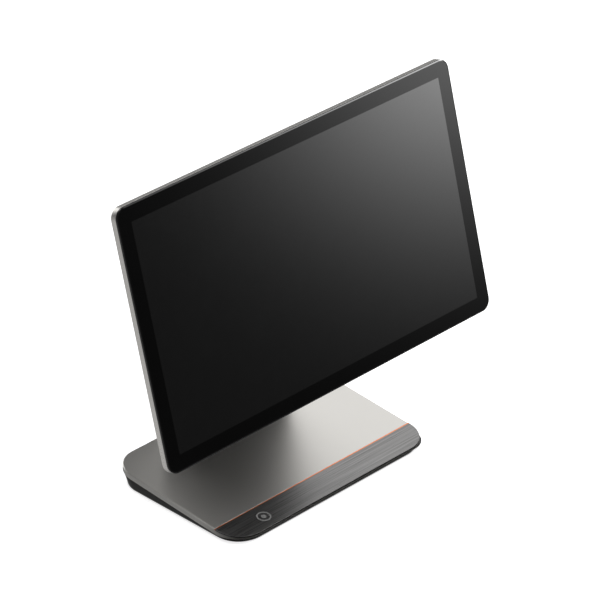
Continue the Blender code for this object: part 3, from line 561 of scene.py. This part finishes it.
def makeJacks():
    face = jackPlace["face"]
    socketDepth = jackPlace["depth"]
    for name, (middle, width, height) in jacks.items():
        centre = socketDepth + height / 2
        bm = bmesh.new()
        openings = []
        for across, deep, offset, reach in sockets.get(name, []):
            openings.append(((middle - across / 2, middle + across / 2),
                             (centre + offset - deep / 2, centre + offset + deep / 2), reach))
        hollow = jackShell(bm, middle, width, height, openings)
        if name == "dc_inlet":
            ringsInto(hollow, [[headPoint(middle + p, centre + q, rise) for p, q in circlePoints(3.1 * mm)]
                               for rise in (face - 1 * mm, face + 11 * mm)])
        piece = makeObject(pieceName(name), meshFrom(name, bm))
        softenEdges(piece, 0.25 * mm)
        combine(piece, [toolFrom(hollow)], "DIFFERENCE")
        piece.data.materials.append(finishes["nickel"])
        inner = bmesh.new()
        contacts = bmesh.new()
        if name == "dc_inlet":
            pin = turnedRings(inletPin, lambda along, p, q: headPoint(middle + p, centre + q, face + along))
            ringsInto(contacts, pin)
        if name == "usb_ports":
            for across, deep, offset, reach in sockets[name]:
                tongue = centre + offset - 0.4 * mm
                boxInto(inner, (middle - 5.4 * mm, middle + 5.4 * mm), (tongue - 0.9 * mm, tongue + 0.9 * mm),
                        (face + 1.2 * mm, face + reach), headPoint)
                for i in range(4):
                    x = middle + (i - 1.5) * usbPinPitch
                    boxInto(contacts, (x - 0.5 * mm, x + 0.5 * mm), (tongue + 0.9 * mm, tongue + 1.15 * mm),
                            (face + 1.8 * mm, face + 9 * mm), headPoint)
        if name in pinCounts:
            count = pinCounts[name]
            wall = centre - sockets[name][0][1] / 2
            for i in range(count):
                x = middle + (i - (count - 1) / 2) * pinPitch
                boxInto(contacts, (x - 0.2 * mm, x + 0.2 * mm), (wall + 0.5 * mm, wall + 0.9 * mm),
                        (face + 2.2 * mm, face + 11 * mm), headPoint)
            boxInto(inner, (middle - count * 0.55 * mm, middle + count * 0.55 * mm), (wall, wall + 0.5 * mm),
                    (face + 1.6 * mm, face + 11 * mm), headPoint)
        place(piece, "head", "plated_metal", [name])
        for part, label, finishName, slotName in ((inner, "Tongue", "insulator", "black_part"),
                                                  (contacts, "Contacts", "contact", "plated_metal")):
            if not part.faces:
                part.free()
                continue
            extra = makeObject(piece.name + label, meshFrom(piece.name + label, part))
            extra.data.materials.append(finishes[finishName])
            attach(extra, "head")


bracket = {
    "plate": (24.7 * mm, 27.3 * mm),  # front and back of the plate
    "halfWidth": 40 * mm,
    "rise": (-36 * mm, 12 * mm),
    "ear": (24.5 * mm, 28.5 * mm),
    "earRadius": 9 * mm,
    "bore": 4.4 * mm,
    "soften": 0.5 * mm,
}
hingeCap = {
    "radius": 9 * mm,
    "ends": (28.8 * mm, 39 * mm),
    "groove": (30.6 * mm, 31.4 * mm),
    "grooveDepth": 0.25 * mm,
    "round": 1.2 * mm,
    "dimple": 3.6 * mm,
}


def aroundHinge(along, p, q):
    return (along, hinge.y + p, hinge.z + q)


def boreTool():
    tool = bmesh.new()
    ringsInto(tool, turnedRings([(end, bracket["bore"]) for end in (-60 * mm, 60 * mm)], aroundHinge))
    return toolFrom(tool)


def makeHinge():
    # bracket with two rounded ears, and the two end caps
    halfWidth = bracket["halfWidth"]
    bm = bmesh.new()
    boxInto(bm, (-halfWidth, halfWidth), bracket["plate"], bracket["rise"], headPoint)
    piece = makeObject("hingeBracket", meshFrom("hingeBracket", bm))
    radius = bracket["earRadius"]
    root = bracket["plate"][0] + 1 * mm
    outline = [(root, head["hingeRise"] - radius)]
    for i in range(25):
        angle = i / 24 * pi
        outline.append((head["hingeDepth"] + radius * sin(angle), head["hingeRise"] - radius * cos(angle)))
    outline.append((root, head["hingeRise"] + radius))
    ears = bmesh.new()
    for side in (-1, 1):
        ringsInto(ears, [onSide(side * x, outline) for x in bracket["ear"]])
    combine(piece, [toolFrom(ears)], "UNION")
    combine(piece, [boreTool()], "DIFFERENCE")
    softenEdges(piece, bracket["soften"])
    place(piece, "head", "steel", ["hinge_bracket"], "steel")
    radius = hingeCap["radius"]
    inner, outer = hingeCap["ends"]
    low, high = hingeCap["groove"]
    waist = radius - hingeCap["grooveDepth"]
    soft = 0.3 * mm
    profile = [(inner, radius - 1.3 * mm), (inner, radius - soft), (inner + soft, radius)]
    profile += [(low, radius), (low + 0.2 * mm, waist), (high - 0.2 * mm, waist), (high, radius)]
    size = hingeCap["round"]
    for angle in quarterTurn(6):
        profile.append((outer - size + size * sin(angle), radius - size * (1 - cos(angle))))
    profile += [(outer, hingeCap["dimple"]), (outer - 0.4 * mm, hingeCap["dimple"] - 0.4 * mm)]
    for side, name in ((-1, "left"), (1, "right")):
        rings = turnedRings(profile, lambda along, p, q: aroundHinge(side * along, p, q))
        cap = loft(pieceName(f"hinge_cap_{name}"), rings)
        place(cap, "head", "silver_metal", [f"hinge_cap_{name}"], "silverShell")


base = {
    "width": 228.4 * mm,
    "depth": 149 * mm,
    "frontCorner": 24.8 * mm,
    "backCorner": 24 * mm,
    "footDrop": 1 * mm,
    "frontTop": 6.5 * mm,
    "slope": radians(4.31),
    "band": 4.7 * mm,
    "chamfer": 0.8 * mm,
    "accentSetback": 26.6 * mm,
    "accentWidth": 0.9 * mm,
    "accentGap": 0.04 * mm,
    "stripThick": 1.2 * mm,
    "gap": 0.3 * mm,
    "lip": 0.08 * mm,  # broken edge of the cover along the copper line
}
baseSteps = 18  # points round each corner of the base
frontY = -base["depth"] / 2
backY = base["depth"] / 2
accentY = frontY + base["accentSetback"]


def topZ(y):
    return base["frontTop"] + (y - frontY) * tan(base["slope"])


def seamZ(y):
    return topZ(max(y, frontY + base["frontCorner"])) - base["band"]


def baseOutline(inset=0.0):
    half = base["width"] / 2 - inset
    radii = (base["backCorner"] - inset, base["frontCorner"] - inset)
    return roundedOutline((-half, half), (frontY + inset, backY - inset), radii, baseSteps)


def atHeight(outline, height):
    return [Vector((x, y, height(y))) for x, y in outline]


neckScrews = ("outer_left", "inner_left", "inner_right", "outer_right")
screwPlaces = {"front": (99 * mm, -34 * mm), "rear": (99 * mm, 50 * mm)}  # on the right, mirrored
footPlaces = {"front": (84 * mm, -54 * mm), "rear": (84 * mm, 50 * mm)}


def bothSides(places):
    ends = (("left", -1), ("right", 1))
    return {f"{row}_{name}": (side * x, y) for row, (x, y) in places.items() for name, side in ends}


baseScrews = bothSides(screwPlaces)
feet = bothSides(footPlaces)


def makeTopCover():
    chamfer = base["chamfer"]
    soft = 0.08 * mm
    steps = [
        (0.0, seamZ),
        (0.0, lambda y: topZ(y) - chamfer - soft),
        (soft * 0.4, lambda y: topZ(y) - chamfer + soft * 0.5),
        (chamfer - soft * 0.5, lambda y: topZ(y) - soft * 0.4),
        (chamfer + soft, topZ),
    ]
    rings = [atHeight(baseOutline(inset), height) for inset, height in steps]
    cover = loft("baseTopCover", rings, sharpAngle=14)
    half = base["width"] / 2 + 5 * mm
    front = frontY - 5 * mm
    recessBack = accentY + base["accentWidth"] / 2 + base["accentGap"]
    recess = bmesh.new()
    levels = []
    lip = base["lip"]
    floor = -base["stripThick"] - base["gap"]
    for back, lift in ((0, floor), (0, -lip), (lip * 1.1, lip * 0.1), (lip * 1.1, 5 * mm)):
        rear = recessBack + back
        corners = [(-half, front), (half, front), (half, rear), (-half, rear)]
        levels.append(atHeight(corners, lambda y: topZ(y) + lift))
    ringsInto(recess, levels)
    combine(cover, [toolFrom(recess)], "DIFFERENCE", 14)
    place(cover, "stand", "silver_metal", ["base_top_cover"], "silverTop")


def stripOutline(inset=0.0):
    back = accentY - base["accentWidth"] / 2 - base["accentGap"]
    outline = baseOutline(inset)
    arcs = outline[len(outline) // 2:]
    half = base["width"] / 2 - inset
    return [(half, back), (-half, back)] + arcs


def makeFrontTrim():
    edge = 0.18 * mm
    side = 0.1 * mm
    steps = [
        (side, lambda y: topZ(y) - base["stripThick"]),
        (side, lambda y: topZ(y) - edge),
        (side + edge * 0.3, lambda y: topZ(y) - edge * 0.3),
        (side + edge, topZ),
    ]
    rings = [atHeight(stripOutline(inset), height) for inset, height in steps]
    strip = loft("frontStrip", rings, sharpAngle=20)
    place(strip, "stand", "brushed_dark", ["base_front_strip"], "brushedStrip")
    half = base["width"] / 2 - side
    halfWidth = base["accentWidth"] / 2
    crown = 0.04 * mm
    section = [(-halfWidth, -base["stripThick"])]
    for i in range(7):
        angle = pi - i / 6 * pi
        section.append((halfWidth * cos(angle), -crown + crown * sin(angle)))
    section.append((halfWidth, -base["stripThick"]))
    rings = []
    for x in (-half, half):
        rings.append([Vector((x, accentY + y, topZ(accentY + y) + lift)) for y, lift in section])
    accent = loft("accentLine", rings)
    place(accent, "stand", "copper_trim", ["accent_strip"], "copper")


touchMark = {
    "place": (-72 * mm, -61.5 * mm),
    "ring": (6.2 * mm, 4.9 * mm),
    "dot": 2.2 * mm,
    "levels": (-0.02 * mm, 0.03 * mm),  # against the top of the strip
}


def makeTouchMark():
    # printed ring and dot near the front left of the strip
    middleX, middleY = touchMark["place"]
    outer, inner = touchMark["ring"]
    dot = touchMark["dot"]
    low, high = touchMark["levels"]

    def onStrip(*steps):
        rings = []
        for radius, lift in steps:
            points = [(middleX + p, middleY + q) for p, q in circlePoints(radius)]
            rings.append(atHeight(points, lambda y: topZ(y) + lift))
        return rings

    bm = bmesh.new()
    ringsInto(bm, onStrip((outer, low), (outer, high), (inner, high), (inner, low)), loop=True)
    ringsInto(bm, onStrip((dot, low), (dot, high)))
    mark = makeObject("touchMark", meshFrom("touchMark", bm))
    mark.data.materials.append(finishes["markPrint"])
    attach(mark, "stand")


lowerCase = {
    "setback": 0.3 * mm,  # inside the edge of the cover
    "leanSide": 1.7 * mm,  # how much further in the case stands at its foot
    "leanFront": 2 * mm,
    "leanBack": 3.8 * mm,
    "frontCorner": 20.2 * mm,
    "edge": 0.5 * mm,
    "rim": 7 * mm,
    "footBore": 8.3 * mm,
    "screwBore": 3.6 * mm,
}


def caseOutline(share, inset=0.0):
    setback = lowerCase["setback"]
    side = base["width"] / 2 - setback - share * lowerCase["leanSide"] - inset
    front = frontY + setback + share * lowerCase["leanFront"] + inset
    back = backY - setback - share * lowerCase["leanBack"] - inset
    radii = (base["backCorner"] - inset, lowerCase["frontCorner"] - inset)
    return roundedOutline((-side, side), (front, back), radii, baseSteps)


def upright(x, y, facing=1):
    return lambda along, p, q: (x + p, y + q, facing * along)


def makeLowerCase():
    low = base["footDrop"]
    edge = lowerCase["edge"]
    rim = lowerCase["rim"]
    rings = [
        atHeight(caseOutline(1, rim), lambda y: low + edge),
        atHeight(caseOutline(1, rim - 0.6 * mm), lambda y: low + edge),
        atHeight(caseOutline(1, rim - 0.6 * mm), lambda y: low),
        atHeight(caseOutline(1, edge), lambda y: low),
        atHeight(caseOutline(1, edge * 0.3), lambda y: low + edge * 0.3),
        atHeight(caseOutline(0.93), lambda y: low + edge),
        atHeight(caseOutline(0), lambda y: seamZ(y) - base["gap"]),
    ]
    case = loft("lowerCase", rings)
    cuts = bmesh.new()
    bores = ((feet, lowerCase["footBore"], 0.9 * mm), (baseScrews, lowerCase["screwBore"], 1.2 * mm))
    for places, radius, deep in bores:
        for x, y in places.values():
            ringsInto(cuts, turnedRings([(-1 * mm, radius), (low + deep, radius)], upright(x, y)))
    combine(case, [toolFrom(cuts)], "DIFFERENCE")
    place(case, "stand", "dark_plastic", ["base_lower_case"], "darkCase")


def makeFeetAndScrews():
    low = base["footDrop"]
    profile = [(0.25 * mm, 4.6 * mm), (0.25 * mm, 5.2 * mm), (0.0, 5.5 * mm), (0.0, 7.3 * mm)]
    profile += [(0.12 * mm, 7.75 * mm), (0.45 * mm, 8 * mm), (low + 0.6 * mm, 8 * mm)]
    for name, (x, y) in feet.items():
        foot = loft(pieceName(f"foot_{name}"), turnedRings(profile, upright(x, y)))
        place(foot, "stand", "rubber_foot", [f"foot_{name}"], "rubber")
    for name, (x, y) in baseScrews.items():
        rings = screwRings(upright(x, y, -1), -low - 0.6 * mm, **baseScrew)
        screw = loft(pieceName(f"base_screw_{name}"), rings)
        place(screw, "stand", "steel", [f"base_screw_{name}"], "steel")


neck = {
    "width": 130 * mm,
    "thick": 13 * mm,
    "footY": 52 * mm,
    "edge": 3 * mm,
    "frontWall": 2.6 * mm,
    "sideWall": 4 * mm,
    "shoulder": 14 * mm,
    "coverThick": 2 * mm,
    "barrelHalf": 22 * mm,
    "barrelRadius": 9 * mm,
    "channel": (18 * mm, 10 * mm),  # above the foot, below the shoulder
    "entryHalf": 28 * mm,
    "entryDrops": (24 * mm, 10 * mm),  # cable entry, below the top of the channel
    "soften": 1.2 * mm,
    "coverStart": 32 * mm,
    "coverEdge": 0.6 * mm,
    "grips": 5,
    "gripPitch": 3.4 * mm,
    "gripHalf": 19 * mm,
}
pull = Vector(joints["cable_cover_pull"]["axis"])
neckLength = sqrt((neck["footY"] - hinge.y) ** 2 + (hinge.z - topZ(neck["footY"])) ** 2)


def neckPoint(x, back, up):
    return Vector((x, hinge.y + back * pull.y - up * pull.z, hinge.z + back * pull.z + up * pull.y))


def neckFoot(x, back):
    # where a line down the neck meets the base, a hair above it
    start = neckPoint(x, back, 0)
    step = neckPoint(x, back, -1) - start
    travel = (topZ(start.y) + base["gap"] - start.z) / (step.z - tan(base["slope"]) * step.y)
    return start + step * travel


def neckBox(bm, x, back, up):
    boxInto(bm, x, back, up, neckPoint)


def makeNeck():
    half = neck["width"] / 2
    deep = neck["thick"] / 2
    outline = roundedOutline((-half, half), (-deep, deep), (neck["edge"], neck["edge"]), 8)
    top = -neck["shoulder"]
    soft = neck["soften"]
    rings = [[neckFoot(x, back) for x, back in outline]]
    for angle in quarterTurn(3):
        inset = soft * (1 - cos(angle))
        slim = roundedOutline((-half + inset, half - inset), (-deep + inset, deep - inset),
                              (neck["edge"] - inset, neck["edge"] - inset), 8)
        rings.append([neckPoint(x, back, top - soft + soft * sin(angle)) for x, back in slim])
    column = loft("neckColumn", rings)
    start, stop = neck["channel"]
    high = top - stop
    channelHalf = half - neck["sideWall"]
    cuts = bmesh.new()
    wall = -deep + neck["frontWall"]
    neckBox(cuts, (-channelHalf, channelHalf), (wall, deep + 2 * mm), (-neckLength + start, high))
    combine(column, [toolFrom(cuts)], "DIFFERENCE")
    cuts = bmesh.new()
    entryHalf = neck["entryHalf"]
    neckBox(cuts, (-entryHalf, entryHalf), (-deep - 2 * mm, 0), [high - drop for drop in neck["entryDrops"]])
    combine(column, [toolFrom(cuts)], "DIFFERENCE")
    end = neck["barrelHalf"]
    inset = 0.5 * mm
    tongue = bmesh.new()
    neckBox(tongue, (-end, end), (-deep + inset, deep - inset), (top - 1 * mm, 0))
    barrel = bmesh.new()
    profile = roundCorner(-end + inset, neck["barrelRadius"], inset, -1)
    profile += roundCorner(end - inset, neck["barrelRadius"], inset, 1)
    ringsInto(barrel, turnedRings(profile, aroundHinge))
    combine(column, [toolFrom(tongue), toolFrom(barrel)], "UNION")
    combine(column, [boreTool()], "DIFFERENCE")
    place(column, "stand", "dark_metal", ["neck_column"], "darkNeck")


def makeCableCover():
    half = neck["width"] / 2 - neck["sideWall"] - base["gap"]
    deep = neck["thick"] / 2
    low = -neckLength + neck["coverStart"]
    high = -neck["shoulder"] - neck["channel"][1] - base["gap"]
    soft = neck["coverEdge"]
    rings = []
    steps = ((0, deep - neck["coverThick"]), (0, deep - soft), (soft * 0.3, deep - soft * 0.3), (soft, deep))
    for inset, back in steps:
        radii = (1.5 * mm, 1.5 * mm)
        outline = roundedOutline((-half + inset, half - inset), (low + inset, high - inset), radii, 6)
        rings.append([neckPoint(x, back, up) for x, up in outline])
    cover = loft("cableCover", rings)
    grip = bmesh.new()
    gripHalf = neck["gripHalf"]
    for i in range(neck["grips"]):
        outline = stadium(low + 9 * mm + i * neck["gripPitch"], 1.8 * mm, (-gripHalf, gripHalf))
        levels = (deep - 1 * mm, deep + 1 * mm)
        ringsInto(grip, [[neckPoint(x, back, up) for up, x in outline] for back in levels])
    combine(cover, [toolFrom(grip)], "DIFFERENCE")
    place(cover, "cable_cover", "dark_plastic", ["neck_cable_cover"], "darkCase")


keptFinishes = {
    "blackPanel": ["touch_sensor", "display_cell", "speaker_left", "speaker_right"],
    "foamTape": ["seal_tape"],
    "sheetAluminium": ["backlight_unit", "heat_sink"],
    "board": ["main_board", "io_board"],
    "film": ["display_cable"],
    "whitePlastic": ["power_switch"],
    "steel": ["hinge_shaft", "spring_washer_left", "spring_washer_right", "base_weight"]
    + [f"neck_screw_{name}" for name in neckScrews],
    "zinc": ["friction_washer_left", "friction_washer_right", "hinge_nut_left", "hinge_nut_right"]
    + [f"bracket_post_{row}_{side}" for row in ("upper", "lower") for side in ("left", "right")],
}


def finishKeptNodes():
    for finishName, names in keptFinishes.items():
        for name in names:
            mesh = frame["nodes"][name].data
            mesh.materials.clear()
            mesh.materials.append(finishes[finishName])


studio = {
    "floorSize": 7.0,
    # brightness by height, 0 straight down and 1 straight up
    "sky": ((0.0, 0.50), (0.25, 0.52), (0.48, 0.28), (0.56, 0.14), (0.66, 0.38), (0.76, 1.19)),
    "frontDark": 0.05,  # low down on the camera's side
    "lowLight": 0.35,  # share of light that comes up from below there
    "behind": (-0.35, 0.35),  # where the sky brightens, as parts of a unit direction
    "above": (0.15, 0.5),
    "below": (-0.45, -0.32),
    "leftDim": 0.74,  # share of light lost high up on the left
    "leftSide": (-0.1, 0.45),
    "leftHigh": (0.0, 0.4),
    "glows": (  # direction, size, power
        ((0.6815, -0.7287, -0.0667), 0.0368, 3.49),
        ((0.7305, -0.652, 0.2016), 0.075, 10.0),
    ),
    "flag": ((-0.21, 0.057), (0.05, 0.262), 0.13, 0.01),  # across, height, how far back, brightness
    "cardSize": (0.46, 0.38),
    "cardFront": 0.004,  # brightness of the painted shadow card under the kiosk, at its front
    "cardBack": 0.25,
    "cardEdge": 0.5,  # well away from the base
    "lampPlace": (0.0, 1.8, 0.35),
    "lampSize": 1.4,
    "lampWatts": 7.0,
}


def footprintReach(tree):
    # how far a place on the table lies outside the foot of the base
    corner = base["frontCorner"]
    sides = (base["width"] / 2 - 2.4 * mm - corner, base["depth"] / 2 - 1.9 * mm - corner, 0)
    spot = addNode(tree, "ShaderNodeTexCoord")
    fromMiddle = vectorNode(tree, "ABSOLUTE", spot.outputs["Object"])
    beyond = vectorNode(tree, "SUBTRACT", fromMiddle.outputs[0], sides)
    outside = vectorNode(tree, "MAXIMUM", beyond.outputs[0], (0, 0, 0))
    reach = vectorNode(tree, "LENGTH", outside.outputs[0])
    return mathNode(tree, "SUBTRACT", reach.outputs["Value"], corner)


def makeFloor():
    bm = bmesh.new()
    half = studio["floorSize"] / 2
    top = -0.2 * mm  # just under the feet
    boxInto(bm, (-half, half), (-half, half), (top - 10 * mm, top))
    floor = makeObject("studioFloor", meshFrom("studioFloor", bm))
    material = bpy.data.materials.new("studioPaperPaintedShadow")
    material.use_nodes = True
    tree = material.node_tree
    shader = tree.nodes["Principled BSDF"]
    shader.inputs["Roughness"].default_value = 0.9
    shader.inputs["Emission Strength"].default_value = 0.85
    # colour and glow of the floor drop to near black under the foot of the base and a hair outside it: a
    # painted contact shadow
    paintedShadow = smoothStep(tree, footprintReach(tree), -1.2 * mm, 0.4 * mm, 0.02, 0.9)
    tree.links.new(paintedShadow, shader.inputs["Base Color"])
    tree.links.new(paintedShadow, shader.inputs["Emission Color"])
    floor.data.materials.append(material)
    floor.visible_glossy = False
    floor.visible_diffuse = False
    floor.visible_shadow = False


def makeReflector(name, x, y, z, strength):
    # glowing card that is seen in reflections only
    bm = bmesh.new()
    boxInto(bm, x, y, z)
    card = makeObject(name, meshFrom(name, bm))
    material = bpy.data.materials.new(name)
    material.use_nodes = True
    tree = material.node_tree
    tree.nodes.remove(tree.nodes["Principled BSDF"])
    shine = addNode(tree, "ShaderNodeEmission", {"Strength": strength(tree)})
    tree.links.new(shine.outputs[0], tree.nodes["Material Output"].inputs["Surface"])
    card.data.materials.append(material)
    card.visible_camera = False
    card.visible_diffuse = False
    card.visible_shadow = False


def makeCard():
    # painted shadow of the base on the table top, seen in reflections only: near black at the front of the
    # base, brighter behind it and further away
    def strength(tree):
        spot = addNode(tree, "ShaderNodeTexCoord")
        parts = addNode(tree, "ShaderNodeSeparateXYZ", {"Vector": spot.outputs["Object"]})
        ends = (studio["cardFront"], studio["cardBack"])
        level = rangeNode(tree, parts.outputs["Y"], -75 * mm, -30 * mm, *ends)
        away = smoothStep(tree, footprintReach(tree), 25 * mm, 110 * mm)
        return mixNumbers(tree, away, level, studio["cardEdge"])

    wide, deep = studio["cardSize"]
    makeReflector("tablePaintedShadowCard", (-wide / 2, wide / 2), (-deep / 2, deep / 2), (-0.8 * mm, -0.5 * mm), strength)


def makeFlag():
    # dim screen behind the kiosk on its left
    across, height, back, level = studio["flag"]
    makeReflector("studioFlag", across, (back, back + 2 * mm), height, lambda tree: level)


def makeLamp():
    # soft lamp behind the kiosk, for its back
    data = bpy.data.lights.new("softLamp", "AREA")
    data.shape = "DISK"
    data.size = studio["lampSize"]
    data.energy = studio["lampWatts"]
    lamp = bpy.data.objects.new("softLamp", data)
    bpy.context.scene.collection.objects.link(lamp)
    lamp.visible_camera = False
    lamp.location = studio["lampPlace"]
    lamp.rotation_euler = (-Vector(studio["lampPlace"])).to_track_quat("-Z", "Y").to_euler()


def makeSky():
    world = bpy.data.worlds.new("studioSky")
    bpy.context.scene.world = world
    world.use_nodes = True
    tree = world.node_tree
    background = tree.nodes["Background"]
    spot = addNode(tree, "ShaderNodeTexCoord")
    parts = addNode(tree, "ShaderNodeSeparateXYZ", {"Vector": spot.outputs["Generated"]})
    ramp = addNode(tree, "ShaderNodeValToRGB", {"Fac": rangeNode(tree, parts.outputs["Z"], -1.0, 1.0)})
    stops = ramp.color_ramp.elements
    stops.remove(stops[1])
    for i, (rise, level) in enumerate(studio["sky"]):
        stop = stops[0] if i == 0 else stops.new(rise)
        stop.position = rise
        stop.color = (level, level, level, 1)
    ramp.color_ramp.interpolation = "EASE"
    # darker in front, except high up and low down
    behind = smoothStep(tree, parts.outputs["Y"], *studio["behind"])
    above = smoothStep(tree, parts.outputs["Z"], *studio["above"])
    below = smoothStep(tree, parts.outputs["Z"], *studio["below"])
    below = mathNode(tree, "MULTIPLY_ADD", below, -studio["lowLight"], studio["lowLight"])
    clear = mathNode(tree, "MAXIMUM", mathNode(tree, "MAXIMUM", behind, above), below)
    sky = mixNumbers(tree, clear, studio["frontDark"], ramp.outputs["Color"])
    leftSide = smoothStep(tree, mathNode(tree, "MULTIPLY", parts.outputs["X"], -1.0), *studio["leftSide"])
    high = smoothStep(tree, parts.outputs["Z"], *studio["leftHigh"])
    corner = mathNode(tree, "MULTIPLY", leftSide, high)
    keep = mathNode(tree, "MULTIPLY_ADD", corner, -studio["leftDim"], 1.0)
    light = mathNode(tree, "MULTIPLY", sky, keep)
    for aim, size, power in studio["glows"]:
        reach = vectorNode(tree, "DISTANCE", spot.outputs["Generated"], aim).outputs["Value"]
        fall = mathNode(tree, "MULTIPLY", mathNode(tree, "POWER", reach, 2.0), -0.5 / size ** 2)
        light = mathNode(tree, "MULTIPLY_ADD", mathNode(tree, "EXPONENT", fall), power, light)
    path = addNode(tree, "ShaderNodeLightPath")
    seen = mixNumbers(tree, path.outputs["Is Camera Ray"], light, 1.0)  # the backdrop itself is white
    tree.links.new(seen, background.inputs["Strength"])
    background.inputs["Color"].default_value = (1, 1, 1, 1)


camera = {
    "azimuth": -45.715,
    "elevation": 30.075,
    "roll": 0.317,
    "place": (-1.9122, -1.8959, 1.7144),
    "lens": 230.3,
    "sensor": 36,
}


def makeCamera():
    azimuth = radians(camera["azimuth"])
    elevation = radians(camera["elevation"])
    roll = radians(camera["roll"])
    back = Vector((sin(azimuth) * cos(elevation), -cos(azimuth) * cos(elevation), sin(elevation)))
    right = Vector((cos(azimuth), sin(azimuth), 0))
    up = back.cross(right)
    turnedRight = right * cos(roll) + up * sin(roll)
    turnedUp = up * cos(roll) - right * sin(roll)
    data = bpy.data.cameras.new("camera")
    data.lens = camera["lens"]
    data.sensor_width = camera["sensor"]
    data.clip_end = 50
    view = bpy.data.objects.new("camera", data)
    bpy.context.scene.collection.objects.link(view)
    turn = Matrix((turnedRight, turnedUp, back)).transposed().to_4x4()
    view.matrix_world = Matrix.Translation(Vector(camera["place"])) @ turn
    bpy.context.scene.camera = view


print("display head")
makeCoverGlass()
makeHeadShell()
makePowerKey()
makeRearHousing()
makeHousingScrews()
makeJacks()
makeHinge()
print("base")
makeTopCover()
makeFrontTrim()
makeTouchMark()
makeLowerCase()
makeFeetAndScrews()
print("neck")
makeNeck()
makeCableCover()
finishKeptNodes()
print("studio")
makeFloor()
makeCard()
makeFlag()
makeLamp()
makeSky()
makeCamera()
bpy.context.scene.view_settings.view_transform = "Standard"
